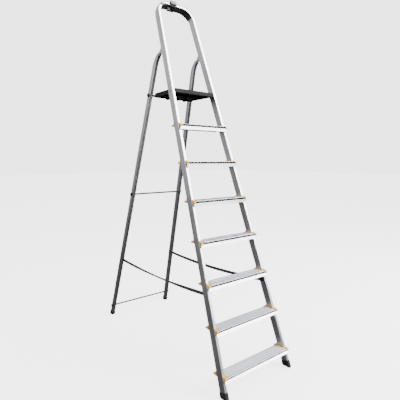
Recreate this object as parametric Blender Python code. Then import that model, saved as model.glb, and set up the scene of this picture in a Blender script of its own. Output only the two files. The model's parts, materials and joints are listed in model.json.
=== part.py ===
"""An eight-step folding step ladder, open and standing on its four feet.

Metres, +Z up, the climbing side towards -Y. Each side frame lies in a plane that leans inwards as it rises.
"""

import math

import bpy
import numpy as np

# Driving dimensions.
tread_count = 7
tread_rise = 0.220
first_tread_top = 0.114
base_depth = 1.351
base_half_width = 0.262
side_taper = 0.0543
front_lean = math.radians(19.9)
hoop_bend_radius = 0.085

# Extrusions: width across the ladder, depth along it.
stile_width = 0.018
stile_depth = 0.045
stile_corner = 0.003
leg_width = 0.023
leg_depth = 0.036
leg_corner = 0.006
leg_tip_depth = 0.023
tube_wall = 0.0016
corner_steps = 3

# Gaps between pieces that touch, and round a pin in its hole.
fit_gap = 0.0003
side_gap = 0.0006
pin_gap = 0.0003

# Treads and their end caps.
nose_reach = 0.0205
nose_bead = 0.0020
bead_height = 0.0036
groove_height = 0.0080
groove_depth = 0.0060
tread_height = 0.031
tread_overhang = 0.005
tread_wall = 0.0018
tread_rib_count = 9
tread_rib_height = 0.0009
tread_flange = 0.008
cap_wall = 0.0030
cap_collar_rise = 0.0070
cap_skirt = 0.015
cap_ear_reach = 0.024
cap_nose_height = 0.0155
cap_nose_wrap = 0.0115
cap_nose_round = 0.0045
cap_nose_proud = 0.0010
tread_end_gap = 0.0015

# Platform.
platform_top = first_tread_top + tread_count * tread_rise + 0.002
platform_thickness = 0.027
platform_short_of_rod = 0.024
platform_wall = 0.0035
platform_plate = 0.0040
platform_side_gap = 0.0015
hook_plate = 0.005
hook_width = 0.028
hook_place = 0.60
pocket_columns = 4
pocket_rows = 3
belly_depth = 0.014
belly_ahead = 0.045
belly_short = 0.010
belly_slope = 0.022
belly_share = 0.90
belly_narrowing = 0.55
hoop_top = platform_top + 0.577
pivot_height = platform_top + 0.237

# Rear legs.
leg_offset = 0.0395
leg_bend_radius = 0.120
pivot_behind_stile = 0.015
leg_tip_back = 0.0175

# Rods across the rear legs.
upper_rod_radius = 0.0070
rod_radius = 0.0060
middle_rod_height = 0.980
lower_rod_height = 0.081
rod_stub = 0.0060
rod_cap_radius = 0.0125
rod_cap_height = 0.0090

# Pins and hinge.
pin_radius = 0.004
eye_radius = 0.009
eye_width = 0.011
ear_wall = 0.0029
plug_length = 0.014
neck_overlap = 0.004
bracket_half_length = 0.021
bracket_rise = 0.014
bracket_plate = 0.0040
bracket_edge = 0.0030
bracket_ear = eye_radius + 0.0005
head_overhang = 0.0024
head_height = 0.0020
platform_head_overhang = 0.0035

# Feet.
foot_wall = 0.0030
sole = 0.006
foot_height = 0.027
foot_chamfer = 0.0035
foot_side_chamfer = 0.0021

# Top of the hoop.
cover_wall = 0.0020
cover_left_angle = math.radians(47)
cover_right_angle = math.radians(66)
cover_lip = 0.0012
cover_edge = 0.0006
sleeve_length = 0.090

# Holder on the hoop and its bucket hook.
holder_left = -0.039
holder_right = 0.008
holder_wall = 0.003
holder_catch = 0.004
hook_left = -0.056
hook_right = -0.042
hook_drop = 0.0060
hook_pin_radius = 0.0025
hook_eye_radius = 0.0055

# Straps.
strap_width = 0.020
strap_thickness = 0.0016
strap_sag = 0.022
strap_stile_height = first_tread_top + 2 * tread_rise - 0.059
strap_leg_height = strap_stile_height - 0.027
strap_stud_radius = 0.0085
strap_stud_height = 0.0030
strap_inset = 0.004
strap_steps = 28

round_steps = 20
bend_steps = 10
metal = {}


def clear_scene():
    """Start from nothing."""
    for obj in list(bpy.data.objects):
        bpy.data.objects.remove(obj, do_unlink=True)


def material(name, color, metallic, roughness):
    """A plain shader per material, made once."""
    if name not in metal:
        made = bpy.data.materials.new(name)
        made.use_nodes = True
        shader = made.node_tree.nodes["Principled BSDF"]
        shader.inputs["Base Color"].default_value = (*color, 1.0)
        shader.inputs["Metallic"].default_value = metallic
        shader.inputs["Roughness"].default_value = roughness
        metal[name] = made
    return metal[name]


def aluminium():
    return material("aluminium", (0.78, 0.79, 0.82), 1.0, 0.32)


def steel():
    return material("zinc_plated_steel", (0.62, 0.63, 0.65), 1.0, 0.35)


def black_plastic():
    return material("black_plastic", (0.022, 0.022, 0.024), 0.0, 0.45)


def yellow_plastic():
    return material("yellow_plastic", (0.78, 0.50, 0.10), 0.0, 0.42)


def rubber():
    return material("black_rubber", (0.018, 0.018, 0.019), 0.0, 0.75)


def grey_plastic():
    return material("grey_plastic", (0.24, 0.24, 0.25), 0.0, 0.5)


def webbing():
    return material("black_webbing", (0.015, 0.015, 0.016), 0.0, 0.85)


# Shared geometry of the two side frames.
lean_sin = math.sin(front_lean)
lean_cos = math.cos(front_lean)
lean_tan = math.tan(front_lean)
stile_level_depth = stile_depth / lean_cos
stile_rear_start = stile_level_depth - base_depth / 2
taper_along = side_taper * lean_cos
side_angle = math.atan(taper_along)
centre_half_width = base_half_width - stile_width / 2


def stile_point(x, along, forward):
    """World point from distances along the stile's rear face and forward of it."""
    y = stile_rear_start + along * lean_sin - forward * lean_cos
    z = along * lean_cos + forward * lean_sin
    return np.array([x, y, z])


def stile_rear(z):
    """Y of the stiles' rear face at a height."""
    return stile_rear_start + z * lean_tan


def stile_middle(z):
    """Y of the middle of the stiles at a height."""
    return stile_rear(z) - stile_level_depth / 2


def outer_half(z):
    """Half the width over the stiles' outer faces at a height."""
    return base_half_width - side_taper * z


def inner_half(z):
    """Half the clear width between the stiles at a height."""
    return outer_half(z) - stile_width


def centre_half(z):
    """Half the distance between the middles of the two side frames at a height."""
    return centre_half_width - side_taper * z


def pivot_point():
    """Y and Z of the rear legs' hinge axis."""
    along = (pivot_height + pivot_behind_stile * lean_sin) / lean_cos
    point = stile_point(0.0, along, -pivot_behind_stile)
    return np.array([point[1], point[2]])


def platform_pivot():
    """Y and Z of the platform's hinge axis, in the middle of the stiles."""
    z = platform_top - 0.6 * platform_thickness
    return np.array([stile_middle(z), z])


pivot = pivot_point()


def rear_lean_angle():
    """Lean of the rear legs, whose middle line passes the hinge at leg_offset and meets the floor at the back."""
    angle = 0.28
    for _ in range(30):
        floor_y = base_depth / 2 - leg_depth / 2 / math.cos(angle)
        reach = math.hypot(floor_y - pivot[0], pivot[1])
        angle = math.atan2(floor_y - pivot[0], pivot[1]) - math.asin(leg_offset / reach)
    return angle


rear_lean = rear_lean_angle()
leg_floor = np.array([base_depth / 2 - leg_depth / 2 / math.cos(rear_lean), 0.0])
leg_up = np.array([-math.sin(rear_lean), math.cos(rear_lean)])
leg_inward = np.array([-math.cos(rear_lean), -math.sin(rear_lean)])


def leg_middle(z):
    """Y of the middle of a rear leg's straight part at a height."""
    return leg_floor[0] + leg_up[0] / leg_up[1] * z


def add_object(name, points, faces, made_of):
    """A mesh object whose points are moved so that its origin sits in their middle."""
    points = np.array(points, dtype=float)
    middle = (points.min(axis=0) + points.max(axis=0)) / 2
    mesh = bpy.data.meshes.new(name)
    mesh.from_pydata((points - middle).tolist(), [], faces)
    mesh.validate()
    mesh.materials.append(made_of)
    obj = bpy.data.objects.new(name, mesh)
    obj.location = middle.tolist()
    bpy.context.scene.collection.objects.link(obj)
    return obj


def smooth(obj, angle=35.0):
    """Soft shading on rounded faces, with the true edges kept."""
    mesh = obj.data
    mesh.shade_smooth()
    mesh.set_sharp_from_angle(angle=math.radians(angle))


def stack(rings, capped=True):
    """Faces through a row of rings of equal count. Uncapped, the last ring joins the first."""
    count = len(rings[0])
    points = [point for ring in rings for point in ring]
    faces = []
    spans = len(rings) - 1 if capped else len(rings)
    for level in range(spans):
        above = (level + 1) % len(rings)
        for k in range(count):
            after = (k + 1) % count
            faces.append((level * count + k, level * count + after, above * count + after, above * count + k))
    if capped:
        faces.append(tuple(range(count))[::-1])
        last = (len(rings) - 1) * count
        faces.append(tuple(range(last, last + count)))
    return points, outward(points, faces)


def outward(points, faces):
    """The faces, turned round together if they enclose a negative volume."""
    corners = np.array(points, dtype=float)
    volume = 0.0
    for face in faces:
        for k in range(1, len(face) - 1):
            volume += np.dot(corners[face[0]], np.cross(corners[face[k]], corners[face[k + 1]]))
    return faces if volume > 0 else [face[::-1] for face in faces]


def rounded_box(width, depth, radius, steps=corner_steps):
    """A rectangle's outline with round corners, about its middle."""
    outline = []
    for turn, (sx, sy) in enumerate(((1, 1), (-1, 1), (-1, -1), (1, -1))):
        for k in range(steps + 1):
            angle = math.pi / 2 * (turn + k / steps)
            x = sx * (width / 2 - radius) + radius * math.cos(angle)
            y = sy * (depth / 2 - radius) + radius * math.sin(angle)
            outline.append((x, y))
    return outline


def placed(outline, frame):
    """An outline set in space by a frame: origin, first axis, second axis."""
    origin, across, along = frame
    return [origin + a * across + b * along for a, b in outline]


def tube(name, frames, sizes, wall, radius, made_of):
    """A hollow section swept through frames, open at both ends. sizes holds a width and a depth per frame."""
    outer = [placed(rounded_box(w, d, radius), frame) for (w, d), frame in zip(sizes, frames)]
    inner_radius = max(radius - wall, 0.0004)
    inner = [
        placed(rounded_box(w - 2 * wall, d - 2 * wall, inner_radius), frame) for (w, d), frame in zip(sizes, frames)
    ]
    points, faces = stack(outer + inner[::-1], capped=False)
    obj = add_object(name, points, faces, made_of)
    smooth(obj)
    return obj


def prism(name, outline, x_low, x_high, made_of, lean=0.0, lean_from=0.0):
    """A side view outline of (y, z) points extruded across the ladder. lean shifts X per metre above lean_from."""
    rings = []
    for x in (x_low, x_high):
        rings.append([np.array([x + lean * (z - lean_from), y, z]) for y, z in outline])
    points, faces = stack(rings)
    return add_object(name, points, faces, made_of)


def turned(name, profile, middle, made_of, steps=round_steps, side=1):
    """A solid turned about an axis across the ladder. profile holds (distance along X, radius), end to end."""
    rings = []
    for x, radius in profile:
        ring = []
        for k in range(steps):
            angle = 2 * math.pi * k / steps
            y = middle[0] + radius * math.cos(angle)
            z = middle[1] + radius * math.sin(angle)
            ring.append(np.array([side * x, y, z]))
        rings.append(ring)
    points, faces = stack(rings)
    obj = add_object(name, points, faces, made_of)
    smooth(obj)
    return obj


def hidden(obj):
    """Mark a helper solid, so that it only cuts or joins."""
    obj.hide_render = True
    obj.display_type = "WIRE"
    return obj


def combine(obj, other, operation):
    """Join or cut with a helper solid."""
    step = obj.modifiers.new(operation.lower(), "BOOLEAN")
    step.operation = operation
    step.solver = "EXACT"
    step.object = hidden(other)


def baked_mesh(obj):
    """The object's mesh with its modifiers applied."""
    graph = bpy.context.evaluated_depsgraph_get()
    return bpy.data.meshes.new_from_object(obj.evaluated_get(graph))


def arc_points(middle, radius, start, end, steps):
    """(y, z) points along an arc, by angle."""
    found = []
    for k in range(steps + 1):
        angle = start + (end - start) * k / steps
        found.append((middle[0] + radius * math.cos(angle), middle[1] + radius * math.sin(angle)))
    return found


# ---------------------------------------------------------------- front frame


def hoop_path(side):
    """Middle line of a stile as (x, along, turn) points: straight, round the bend, then to the middle of the hoop."""
    top_along = (hoop_top - stile_depth * lean_sin) / lean_cos - stile_width / 2
    bend_middle_along = top_along - hoop_bend_radius
    straight_x = centre_half_width - taper_along * bend_middle_along
    shift = hoop_bend_radius / math.cos(side_angle)
    bend_middle_x = straight_x - shift
    points = []
    bottom = sole / lean_cos
    points.append((centre_half_width - taper_along * bottom, bottom, side_angle))
    for k in range(bend_steps + 1):
        turn = side_angle + (math.pi / 2 - side_angle) * k / bend_steps
        x = bend_middle_x + hoop_bend_radius * math.cos(turn)
        along = bend_middle_along + hoop_bend_radius * math.sin(turn)
        points.append((x, along, turn))
    points.append((side_gap / 2, top_along, math.pi / 2))
    return [(side * x, along, side * turn) for x, along, turn in points]


def hoop_frames(path, forward):
    """Frames whose first axis lies in the side plane's width and whose second points forward."""
    ahead = stile_point(0, 0, 1) - stile_point(0, 0, 0)
    up = stile_point(0, 1, 0) - stile_point(0, 0, 0)
    frames = []
    for x, along, turn in path:
        across = math.cos(turn) * np.array([1.0, 0, 0]) + math.sin(turn) * up
        frames.append((stile_point(x, along, forward), across, ahead))
    return frames


def make_stiles():
    for side, word in ((-1, "left"), (1, "right")):
        frames = hoop_frames(hoop_path(side), stile_depth / 2)
        sizes = [(stile_width, stile_depth)] * len(frames)
        stile = tube(f"{word}_stile", frames, sizes, tube_wall, stile_corner, aluminium())
        hole = turned(
            f"{word}_stile_hole",
            ((centre_half(platform_top) - 0.05, pin_radius + pin_gap), (centre_half(platform_top) + 0.05, pin_radius + pin_gap)),
            platform_pivot(),
            aluminium(),
            side=side,
        )
        combine(stile, hole, "DIFFERENCE")


def make_sleeve():
    """The plug that joins the two stiles in the middle of the hoop."""
    top_along = hoop_path(1)[-1][1]
    width = stile_width - 2 * tube_wall - 2 * fit_gap
    depth = stile_depth - 2 * tube_wall - 2 * fit_gap
    path = [(x, top_along, math.pi / 2) for x in (-sleeve_length / 2, sleeve_length / 2)]
    rings = [placed(rounded_box(width, depth, 0.0012, 1), frame) for frame in hoop_frames(path, stile_depth / 2)]
    points, faces = stack(rings)
    add_object("hoop_joint_sleeve", points, faces, aluminium())


def cover_section(closed):
    """Outline of the cover across the bar. closed runs from 0, where the bar's front is bare, to 1, where it is covered."""
    inner_w = stile_width / 2 + fit_gap
    inner_d = stile_depth / 2 + fit_gap
    outer_w = inner_w + cover_wall
    front = inner_d + cover_edge + closed * (cover_wall - cover_edge)
    outer_d = inner_d + cover_wall
    round_off = 0.4 * cover_wall
    bevel = 0.4 * (front - inner_d)
    lip = cover_lip + closed * (2 * inner_w - 2 * cover_lip - cover_edge)
    return [
        (outer_w, front - bevel),
        (outer_w - bevel, front),
        (inner_w - cover_lip, front),
        (inner_w - cover_lip, inner_d),
        (inner_w, inner_d),
        (inner_w, -inner_d),
        (-inner_w, -inner_d),
        (-inner_w, inner_d),
        (-inner_w + lip, inner_d),
        (-inner_w + lip, front),
        (-outer_w + bevel, front),
        (-outer_w, front - bevel),
        (-outer_w, -outer_d + round_off),
        (-outer_w + round_off, -outer_d),
        (outer_w - round_off, -outer_d),
        (outer_w, -outer_d + round_off),
    ]


def cover_path():
    """Middle line of the hoop's top, from the left end of the cover to its right end."""
    right = hoop_path(1)[1:-1]
    bend_middle_x = right[-1][0]
    bend_middle_along = right[-1][1] - hoop_bend_radius
    points = []
    for side, reach in ((-1, cover_left_angle), (1, cover_right_angle)):
        part = []
        for k in range(bend_steps):
            bend = reach * k / (bend_steps - 1)
            x = side * (bend_middle_x + hoop_bend_radius * math.sin(bend))
            along = bend_middle_along + hoop_bend_radius * math.cos(bend)
            part.append((x, along, -side * bend))
        points += part[::-1] if side < 0 else part
    return points


def make_cover():
    """Grip over the hoop, open along most of its front."""
    ahead = stile_point(0, 0, 1) - stile_point(0, 0, 0)
    up = stile_point(0, 1, 0) - stile_point(0, 0, 0)
    path = cover_path()
    rings = []
    for k, (x, along, bend) in enumerate(path):
        outward_axis = math.cos(bend) * up - math.sin(bend) * np.array([1.0, 0, 0])
        closed = max(0.0, 1.0 - k / (0.75 * bend_steps))
        frame = (stile_point(x, along, stile_depth / 2), outward_axis, ahead)
        rings.append(placed(cover_section(closed), frame))
    points, faces = stack(rings)
    obj = add_object("hoop_cover", points, faces, black_plastic())
    smooth(obj, 50.0)


def make_front_feet():
    for side, word in ((-1, "left"), (1, "right")):
        outer = rounded_box(stile_width + 2 * foot_wall, stile_depth + 2 * foot_wall, stile_corner + foot_wall)
        small = rounded_box(
            stile_width + 2 * foot_wall - 2 * foot_side_chamfer,
            stile_depth + 2 * foot_wall - 2 * foot_chamfer,
            stile_corner + foot_wall - foot_side_chamfer,
        )
        pocket = rounded_box(stile_width + 2 * fit_gap, stile_depth + 2 * fit_gap, stile_corner + fit_gap)

        def ring(outline, height=None, along=None):
            found = []
            for a, b in outline:
                forward = stile_depth / 2 + b
                distance = along if along is not None else (height - forward * lean_sin) / lean_cos
                x = side * (centre_half_width - taper_along * distance) + a
                found.append(stile_point(x, distance, forward))
            return found

        rings = [
            ring(small, height=0.0),
            ring(outer, height=foot_chamfer),
            ring(outer, along=foot_height),
            ring(pocket, along=foot_height),
            ring(pocket, along=sole / lean_cos - fit_gap - stile_width * taper_along),
        ]
        points, faces = stack(rings)
        obj = add_object(f"front_foot_{word}", points, faces, rubber())
        smooth(obj)


def nose_front():
    """Y of the treads' aprons ahead of the stiles' rear face."""
    return -stile_level_depth - nose_reach


def tread_outline(top):
    """Side view of a tread: ribbed top, a bead along the nose with a groove under it, an apron and a rear flange."""
    rear_y = stile_rear(top) + tread_overhang
    apron = stile_rear(top) + nose_front()
    bottom = top - tread_height
    wall = tread_wall
    bead_front = apron - nose_bead
    ribs_from = rear_y - 0.006
    pitch = (ribs_from - bead_front - 0.010) / tread_rib_count
    outer = [(rear_y, bottom), (rear_y, top - 0.002), (rear_y - 0.002, top)]
    for k in range(tread_rib_count):
        start = ribs_from - k * pitch
        outer += [
            (start, top),
            (start - 0.25 * pitch, top + tread_rib_height),
            (start - 0.5 * pitch, top + tread_rib_height),
            (start - 0.75 * pitch, top),
        ]
    bead_radius = bead_height / 2
    bead_middle = (bead_front + bead_radius, top - bead_radius)
    outer += arc_points(bead_middle, bead_radius, math.radians(95), math.radians(265), 6)
    groove_top = top - bead_height
    groove_low = groove_top - groove_height
    outer += [
        (apron + groove_depth, groove_top),
        (apron + groove_depth, groove_low),
        (apron + 0.0008, groove_low),
        (apron, groove_low - 0.0008),
        (apron, bottom),
    ]
    groove_inside = apron + groove_depth + wall
    inner = [
        (apron + tread_flange, bottom),
        (apron + tread_flange, bottom + wall),
        (apron + wall, bottom + wall),
        (apron + wall, groove_low - wall),
        (groove_inside, groove_low - wall),
        (groove_inside, top - wall),
        (rear_y - wall, top - wall),
        (rear_y - wall, bottom + wall),
        (rear_y - tread_flange, bottom + wall),
        (rear_y - tread_flange, bottom),
    ]
    return outer + inner


def make_treads():
    for level in range(tread_count):
        top = first_tread_top + level * tread_rise
        outline = tread_outline(top)
        half = outer_half(top) - tread_end_gap
        tread = prism(f"tread_{level + 1}", outline, -half, half, aluminium())
        for side in (-1, 1):
            near = side * (inner_half(top) - cap_wall - side_gap)
            far = side * (half + 0.02)
            low = top - 2 * tread_height
            high = top + tread_height
            front_offset = -stile_level_depth - (cap_wall + side_gap) / lean_cos
            notch = [
                (stile_rear(low) + front_offset, low),
                (stile_rear(low) + 0.1, low),
                (stile_rear(high) + 0.1, high),
                (stile_rear(high) + front_offset, high),
            ]
            cutter = prism(f"tread_{level + 1}_notch_{side}", notch, near, far, aluminium())
            combine(tread, cutter, "DIFFERENCE")
            cap_end = side * (outer_half(top) - cap_nose_wrap - side_gap)
            cap_low = top - cap_nose_height - side_gap
            ahead = stile_rear(top) + nose_front() - 0.02
            nose = [(ahead, cap_low), (stile_rear(low), cap_low), (stile_rear(low), high), (ahead, high)]
            nose_cutter = prism(f"tread_{level + 1}_nose_{side}", nose, cap_end, far, aluminium())
            combine(tread, nose_cutter, "DIFFERENCE")


def cap_solid(side):
    """End cap at the height of the lowest tread: a collar round three sides of the stile, a round nose and an ear."""
    top = first_tread_top
    lean = -side * side_taper
    outer_x = side * (outer_half(top) - 0.0001)
    inner_x = side * (inner_half(top) - cap_wall)
    around = (cap_wall + fit_gap) / lean_cos

    def slanted(z, offset):
        return (stile_rear(z) + offset, z)

    collar_top = top + cap_collar_rise
    collar_low = top - cap_skirt
    collar = [
        slanted(collar_low, -stile_level_depth - around),
        slanted(collar_low, around),
        slanted(collar_top, around),
        slanted(collar_top, -stile_level_depth - around),
    ]
    cap = prism(f"cap_collar_{side}", collar, outer_x, inner_x, yellow_plastic(), lean, top)
    nose_y = stile_rear(top) + nose_front() - nose_bead - cap_nose_proud
    nose_low = top - cap_nose_height
    round_in = cap_nose_round
    nose = [
        slanted(top + cap_nose_proud, -stile_level_depth - 0.001),
        slanted(nose_low, -stile_level_depth - 0.001),
    ]
    nose += arc_points((nose_y + round_in, nose_low + round_in), round_in, math.radians(270), math.radians(180), 3)
    nose += arc_points(
        (nose_y + round_in, top + cap_nose_proud - round_in), round_in, math.radians(180), math.radians(90), 3
    )
    nose_inner = side * (outer_half(top) - cap_nose_wrap)
    combine(cap, prism(f"cap_nose_{side}", nose, outer_x, nose_inner, yellow_plastic(), lean, top), "UNION")
    ear_y = stile_rear(top) + cap_ear_reach
    ear = [
        slanted(top - 0.001, 0.001),
        (ear_y - 0.004, top - 0.004),
        (ear_y, top - 0.008),
        (ear_y - 0.002, top - 0.014),
        slanted(collar_low - 0.001, 0.001),
    ]
    ear_inner = side * (inner_half(top) - cap_wall + 0.0002)
    combine(cap, prism(f"cap_ear_{side}", ear, outer_x, ear_inner, yellow_plastic(), lean, top), "UNION")
    bar = [
        slanted(top - 0.08, -stile_level_depth - fit_gap / lean_cos),
        slanted(top - 0.08, fit_gap / lean_cos),
        slanted(top + 0.08, fit_gap / lean_cos),
        slanted(top + 0.08, -stile_level_depth - fit_gap / lean_cos),
    ]
    bar_inner = side * (inner_half(top) - fit_gap)
    bar_outer = side * (outer_half(top) + 0.01)
    combine(cap, prism(f"cap_bar_{side}", bar, bar_outer, bar_inner, yellow_plastic(), lean, top), "DIFFERENCE")
    return cap


def make_caps():
    for side, word in ((-1, "left"), (1, "right")):
        first = cap_solid(side)
        shape = baked_mesh(first)
        place = first.location.copy()
        hidden(first)
        for level in range(tread_count):
            rise = level * tread_rise
            copy = bpy.data.objects.new(f"end_cap_{word}_{level + 1}", shape)
            copy.location = (place[0] - side * side_taper * rise, place[1] + rise * lean_tan, place[2] + rise)
            bpy.context.scene.collection.objects.link(copy)


# ------------------------------------------------------------------ rear legs


def leg_centre_line():
    """(y, z) points and directions of a rear leg: straight up from the floor, then bent forward to the hinge."""
    arc_middle_offset = leg_floor + leg_bend_radius * leg_inward - pivot
    forward = np.dot(arc_middle_offset, leg_up)
    room = forward**2 - np.dot(arc_middle_offset, arc_middle_offset) + leg_bend_radius**2
    start = -forward - math.sqrt(max(room, 0.0))
    arc_middle = leg_floor + start * leg_up + leg_bend_radius * leg_inward
    to_pivot = pivot - arc_middle
    full_turn = math.atan2(to_pivot[1], to_pivot[0]) - rear_lean
    turn_end = full_turn - leg_tip_back / leg_bend_radius
    line = [(leg_floor + sole / math.cos(rear_lean) * leg_up, 0.0, 0.0)]
    for k in range(bend_steps + 1):
        turn = turn_end * k / bend_steps
        angle = rear_lean + turn
        point = arc_middle + leg_bend_radius * np.array([math.cos(angle), math.sin(angle)])
        line.append((point, turn, k / bend_steps))
    return line, full_turn


def leg_frame(side, point, turn):
    """Frame of a leg's section: first axis across the ladder, second to the rear, both square to the leg."""
    y, z = point
    outward_axis = np.array([side, 0.0, side_taper * 1.0])
    outward_axis = outward_axis / np.linalg.norm(outward_axis)
    angle = rear_lean + turn
    rise = math.cos(angle)
    direction = np.array([-side * side_taper * rise, -math.sin(angle), rise])
    direction = direction / np.linalg.norm(direction)
    rearward = np.cross(direction, outward_axis) * side
    return np.array([side * centre_half(z), y, z]), outward_axis, rearward


def make_legs():
    line, _ = leg_centre_line()
    for side, word in ((-1, "left"), (1, "right")):
        frames = [leg_frame(side, point, turn) for point, turn, _ in line]
        sizes = [(leg_width, leg_depth + (leg_tip_depth - leg_depth) * part**1.5) for _, _, part in line]
        leg = tube(f"rear_leg_{word}", frames, sizes, tube_wall, leg_corner, aluminium())
        for name, height, radius in rods():
            reach = centre_half(height)
            profile = ((reach - 0.04, radius + pin_gap), (reach + 0.04, radius + pin_gap))
            hole = turned(f"{name}_hole_{word}", profile, (leg_middle(height), height), aluminium(), side=side)
            combine(leg, hole, "DIFFERENCE")


def rods():
    """Name, height and radius of each rod across the rear legs."""
    upper_height = platform_top - hook_plate - fit_gap - upper_rod_radius
    return (
        ("upper_rod", upper_height, upper_rod_radius),
        ("middle_rod", middle_rod_height, rod_radius),
        ("lower_rod", lower_rod_height, rod_radius),
    )


def make_rods():
    tilt_room = rod_cap_radius * side_taper + fit_gap
    for name, height, radius in rods():
        face = centre_half(height) + leg_width / 2
        middle = (leg_middle(height), height)
        end = face + tilt_room + rod_stub
        turned(name, ((-end, radius), (end, radius)), middle, aluminium())
        for side, word in ((-1, "left"), (1, "right")):
            base = face + tilt_room
            profile = (
                (base + rod_stub + fit_gap, radius + pin_gap),
                (base, radius + pin_gap),
                (base, rod_cap_radius),
                (base + 0.55 * rod_cap_height, rod_cap_radius),
                (base + 0.85 * rod_cap_height, 0.86 * rod_cap_radius),
                (base + rod_cap_height, 0.55 * rod_cap_radius),
            )
            turned(f"{name}_cap_{word}", profile, middle, black_plastic(), side=side)


def make_rear_feet():
    for side, word in ((-1, "left"), (1, "right")):
        outer = rounded_box(leg_width + 2 * foot_wall, leg_depth + 2 * foot_wall, leg_corner + foot_wall)
        small = rounded_box(
            leg_width + 2 * foot_wall - 2 * foot_side_chamfer,
            leg_depth + 2 * foot_wall - 2 * foot_chamfer,
            leg_corner + foot_wall - foot_side_chamfer,
        )
        pocket = rounded_box(leg_width + 2 * fit_gap, leg_depth + 2 * fit_gap, leg_corner + fit_gap)
        across = leg_frame(side, leg_floor, 0.0)
        upward = np.cross(across[1], across[2]) * side
        upward = upward if upward[2] > 0 else -upward

        def ring(outline, height=None, along=None):
            found = []
            for a, b in outline:
                start = across[0] + a * across[1] + b * across[2]
                if along is not None:
                    found.append(start + along * upward)
                else:
                    found.append(start + (height - start[2]) / upward[2] * upward)
            return found

        rings = [
            ring(small, height=0.0),
            ring(outer, height=foot_chamfer),
            ring(outer, along=foot_height),
            ring(pocket, along=foot_height),
            ring(pocket, along=sole / math.cos(rear_lean) - fit_gap),
        ]
        points, faces = stack(rings)
        obj = add_object(f"rear_foot_{word}", points, faces, rubber())
        smooth(obj)


# --------------------------------------------------------------------- hinges


def make_hinges():
    line, full_turn = leg_centre_line()
    end_angle = rear_lean + full_turn
    square = np.array([math.cos(end_angle), math.sin(end_angle)])
    tip = line[-1][0]
    tip_angle = rear_lean + line[-1][1]
    tip_heading = np.array([-math.sin(tip_angle), math.cos(tip_angle)])
    tip_square = np.array([math.cos(tip_angle), math.sin(tip_angle)])
    centre_x = centre_half(pivot[1])
    plug_half = leg_tip_depth / 2 - tube_wall - fit_gap - plug_length**2 / (2 * leg_bend_radius)
    plug_wide = leg_width - 2 * tube_wall - 2 * fit_gap - 0.003
    for side, word in ((-1, "left"), (1, "right")):
        x = side * centre_x
        neck = [
            tip - neck_overlap * tip_heading - 0.97 * plug_half * tip_square,
            tip - neck_overlap * tip_heading + 0.97 * plug_half * tip_square,
            pivot + 0.96 * eye_radius * square,
            pivot - 0.96 * eye_radius * square,
        ]
        knuckle = prism(
            f"leg_knuckle_{word}",
            [tuple(p) for p in neck],
            x - eye_width / 2,
            x + eye_width / 2,
            aluminium(),
        )
        eye_profile = ((centre_x - eye_width / 2 + 0.0001, eye_radius), (centre_x + eye_width / 2 - 0.0001, eye_radius))
        combine(knuckle, turned(f"eye_{word}", eye_profile, pivot, aluminium(), side=side), "UNION")
        plug = [
            tip - plug_length * tip_heading - plug_half * tip_square,
            tip - plug_length * tip_heading + plug_half * tip_square,
            tip - 0.001 * tip_heading + plug_half * tip_square,
            tip - 0.001 * tip_heading - plug_half * tip_square,
        ]
        plug_x = side * centre_half(tip[1])
        combine(
            knuckle,
            prism(f"plug_{word}", [tuple(p) for p in plug], plug_x - plug_wide / 2, plug_x + plug_wide / 2, aluminium()),
            "UNION",
        )
        hole_profile = ((centre_x - 0.03, pin_radius + pin_gap), (centre_x + 0.03, pin_radius + pin_gap))
        combine(knuckle, turned(f"eye_hole_{word}", hole_profile, pivot, aluminium(), side=side), "DIFFERENCE")
        make_bracket(side, word, hole_profile)
        reach = eye_width / 2 + side_gap + ear_wall
        head = centre_x + reach + side_gap
        tail = centre_x - reach - side_gap
        head_radius = pin_radius + head_overhang
        pin_profile = (
            (tail - head_height, head_radius - 0.0014),
            (tail - 0.4 * head_height, head_radius),
            (tail, head_radius),
            (tail, pin_radius),
            (head, pin_radius),
            (head, head_radius),
            (head + 0.4 * head_height, head_radius),
            (head + head_height, head_radius - 0.0014),
        )
        turned(f"hinge_pin_{word}", pin_profile, pivot, steel(), side=side)


def make_bracket(side, word, hole_profile):
    """The fork on the back of the stile that holds the leg's knuckle."""
    centre_x = centre_half(pivot[1])
    half = eye_width / 2 + side_gap + ear_wall
    along = (pivot_height + pivot_behind_stile * lean_sin) / lean_cos

    def local(distance, behind):
        point = stile_point(0.0, along + distance, -behind)
        return (point[1], point[2])

    shoulder = bracket_plate + 0.0005
    outline = [
        local(-bracket_half_length, fit_gap),
        local(-bracket_half_length, bracket_edge),
        local(-bracket_rise, shoulder),
    ]
    for k in range(9):
        angle = math.radians(-80 + 160 * k / 8)
        outline.append(local(bracket_ear * math.sin(angle), pivot_behind_stile + bracket_ear * math.cos(angle)))
    outline += [
        local(bracket_rise, shoulder),
        local(bracket_half_length, bracket_edge),
        local(bracket_half_length, fit_gap),
    ]
    lean = -side * side_taper
    bracket = prism(
        f"hinge_bracket_{word}",
        outline,
        side * centre_x - half,
        side * centre_x + half,
        aluminium(),
        lean,
        pivot[1],
    )
    reach = 2.5 * bracket_half_length
    slot = [local(-reach, bracket_plate), local(-reach, reach), local(reach, reach), local(reach, bracket_plate)]
    slot_half = eye_width / 2 + side_gap
    cutter = prism(
        f"bracket_slot_{word}", slot, side * centre_x - slot_half, side * centre_x + slot_half, aluminium(), lean, pivot[1]
    )
    combine(bracket, cutter, "DIFFERENCE")
    combine(bracket, turned(f"bracket_hole_{word}", hole_profile, pivot, aluminium(), side=side), "DIFFERENCE")


# ------------------------------------------------------------------- platform


def platform_half(y):
    """Half width of the platform, which narrows to the rear as much as the stiles close in above it."""
    turn_y, turn_z = platform_pivot()
    from_pivot = y - turn_y
    return inner_half(turn_z) - platform_side_gap - taper_along * max(from_pivot, -0.02) - 0.0005


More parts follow.
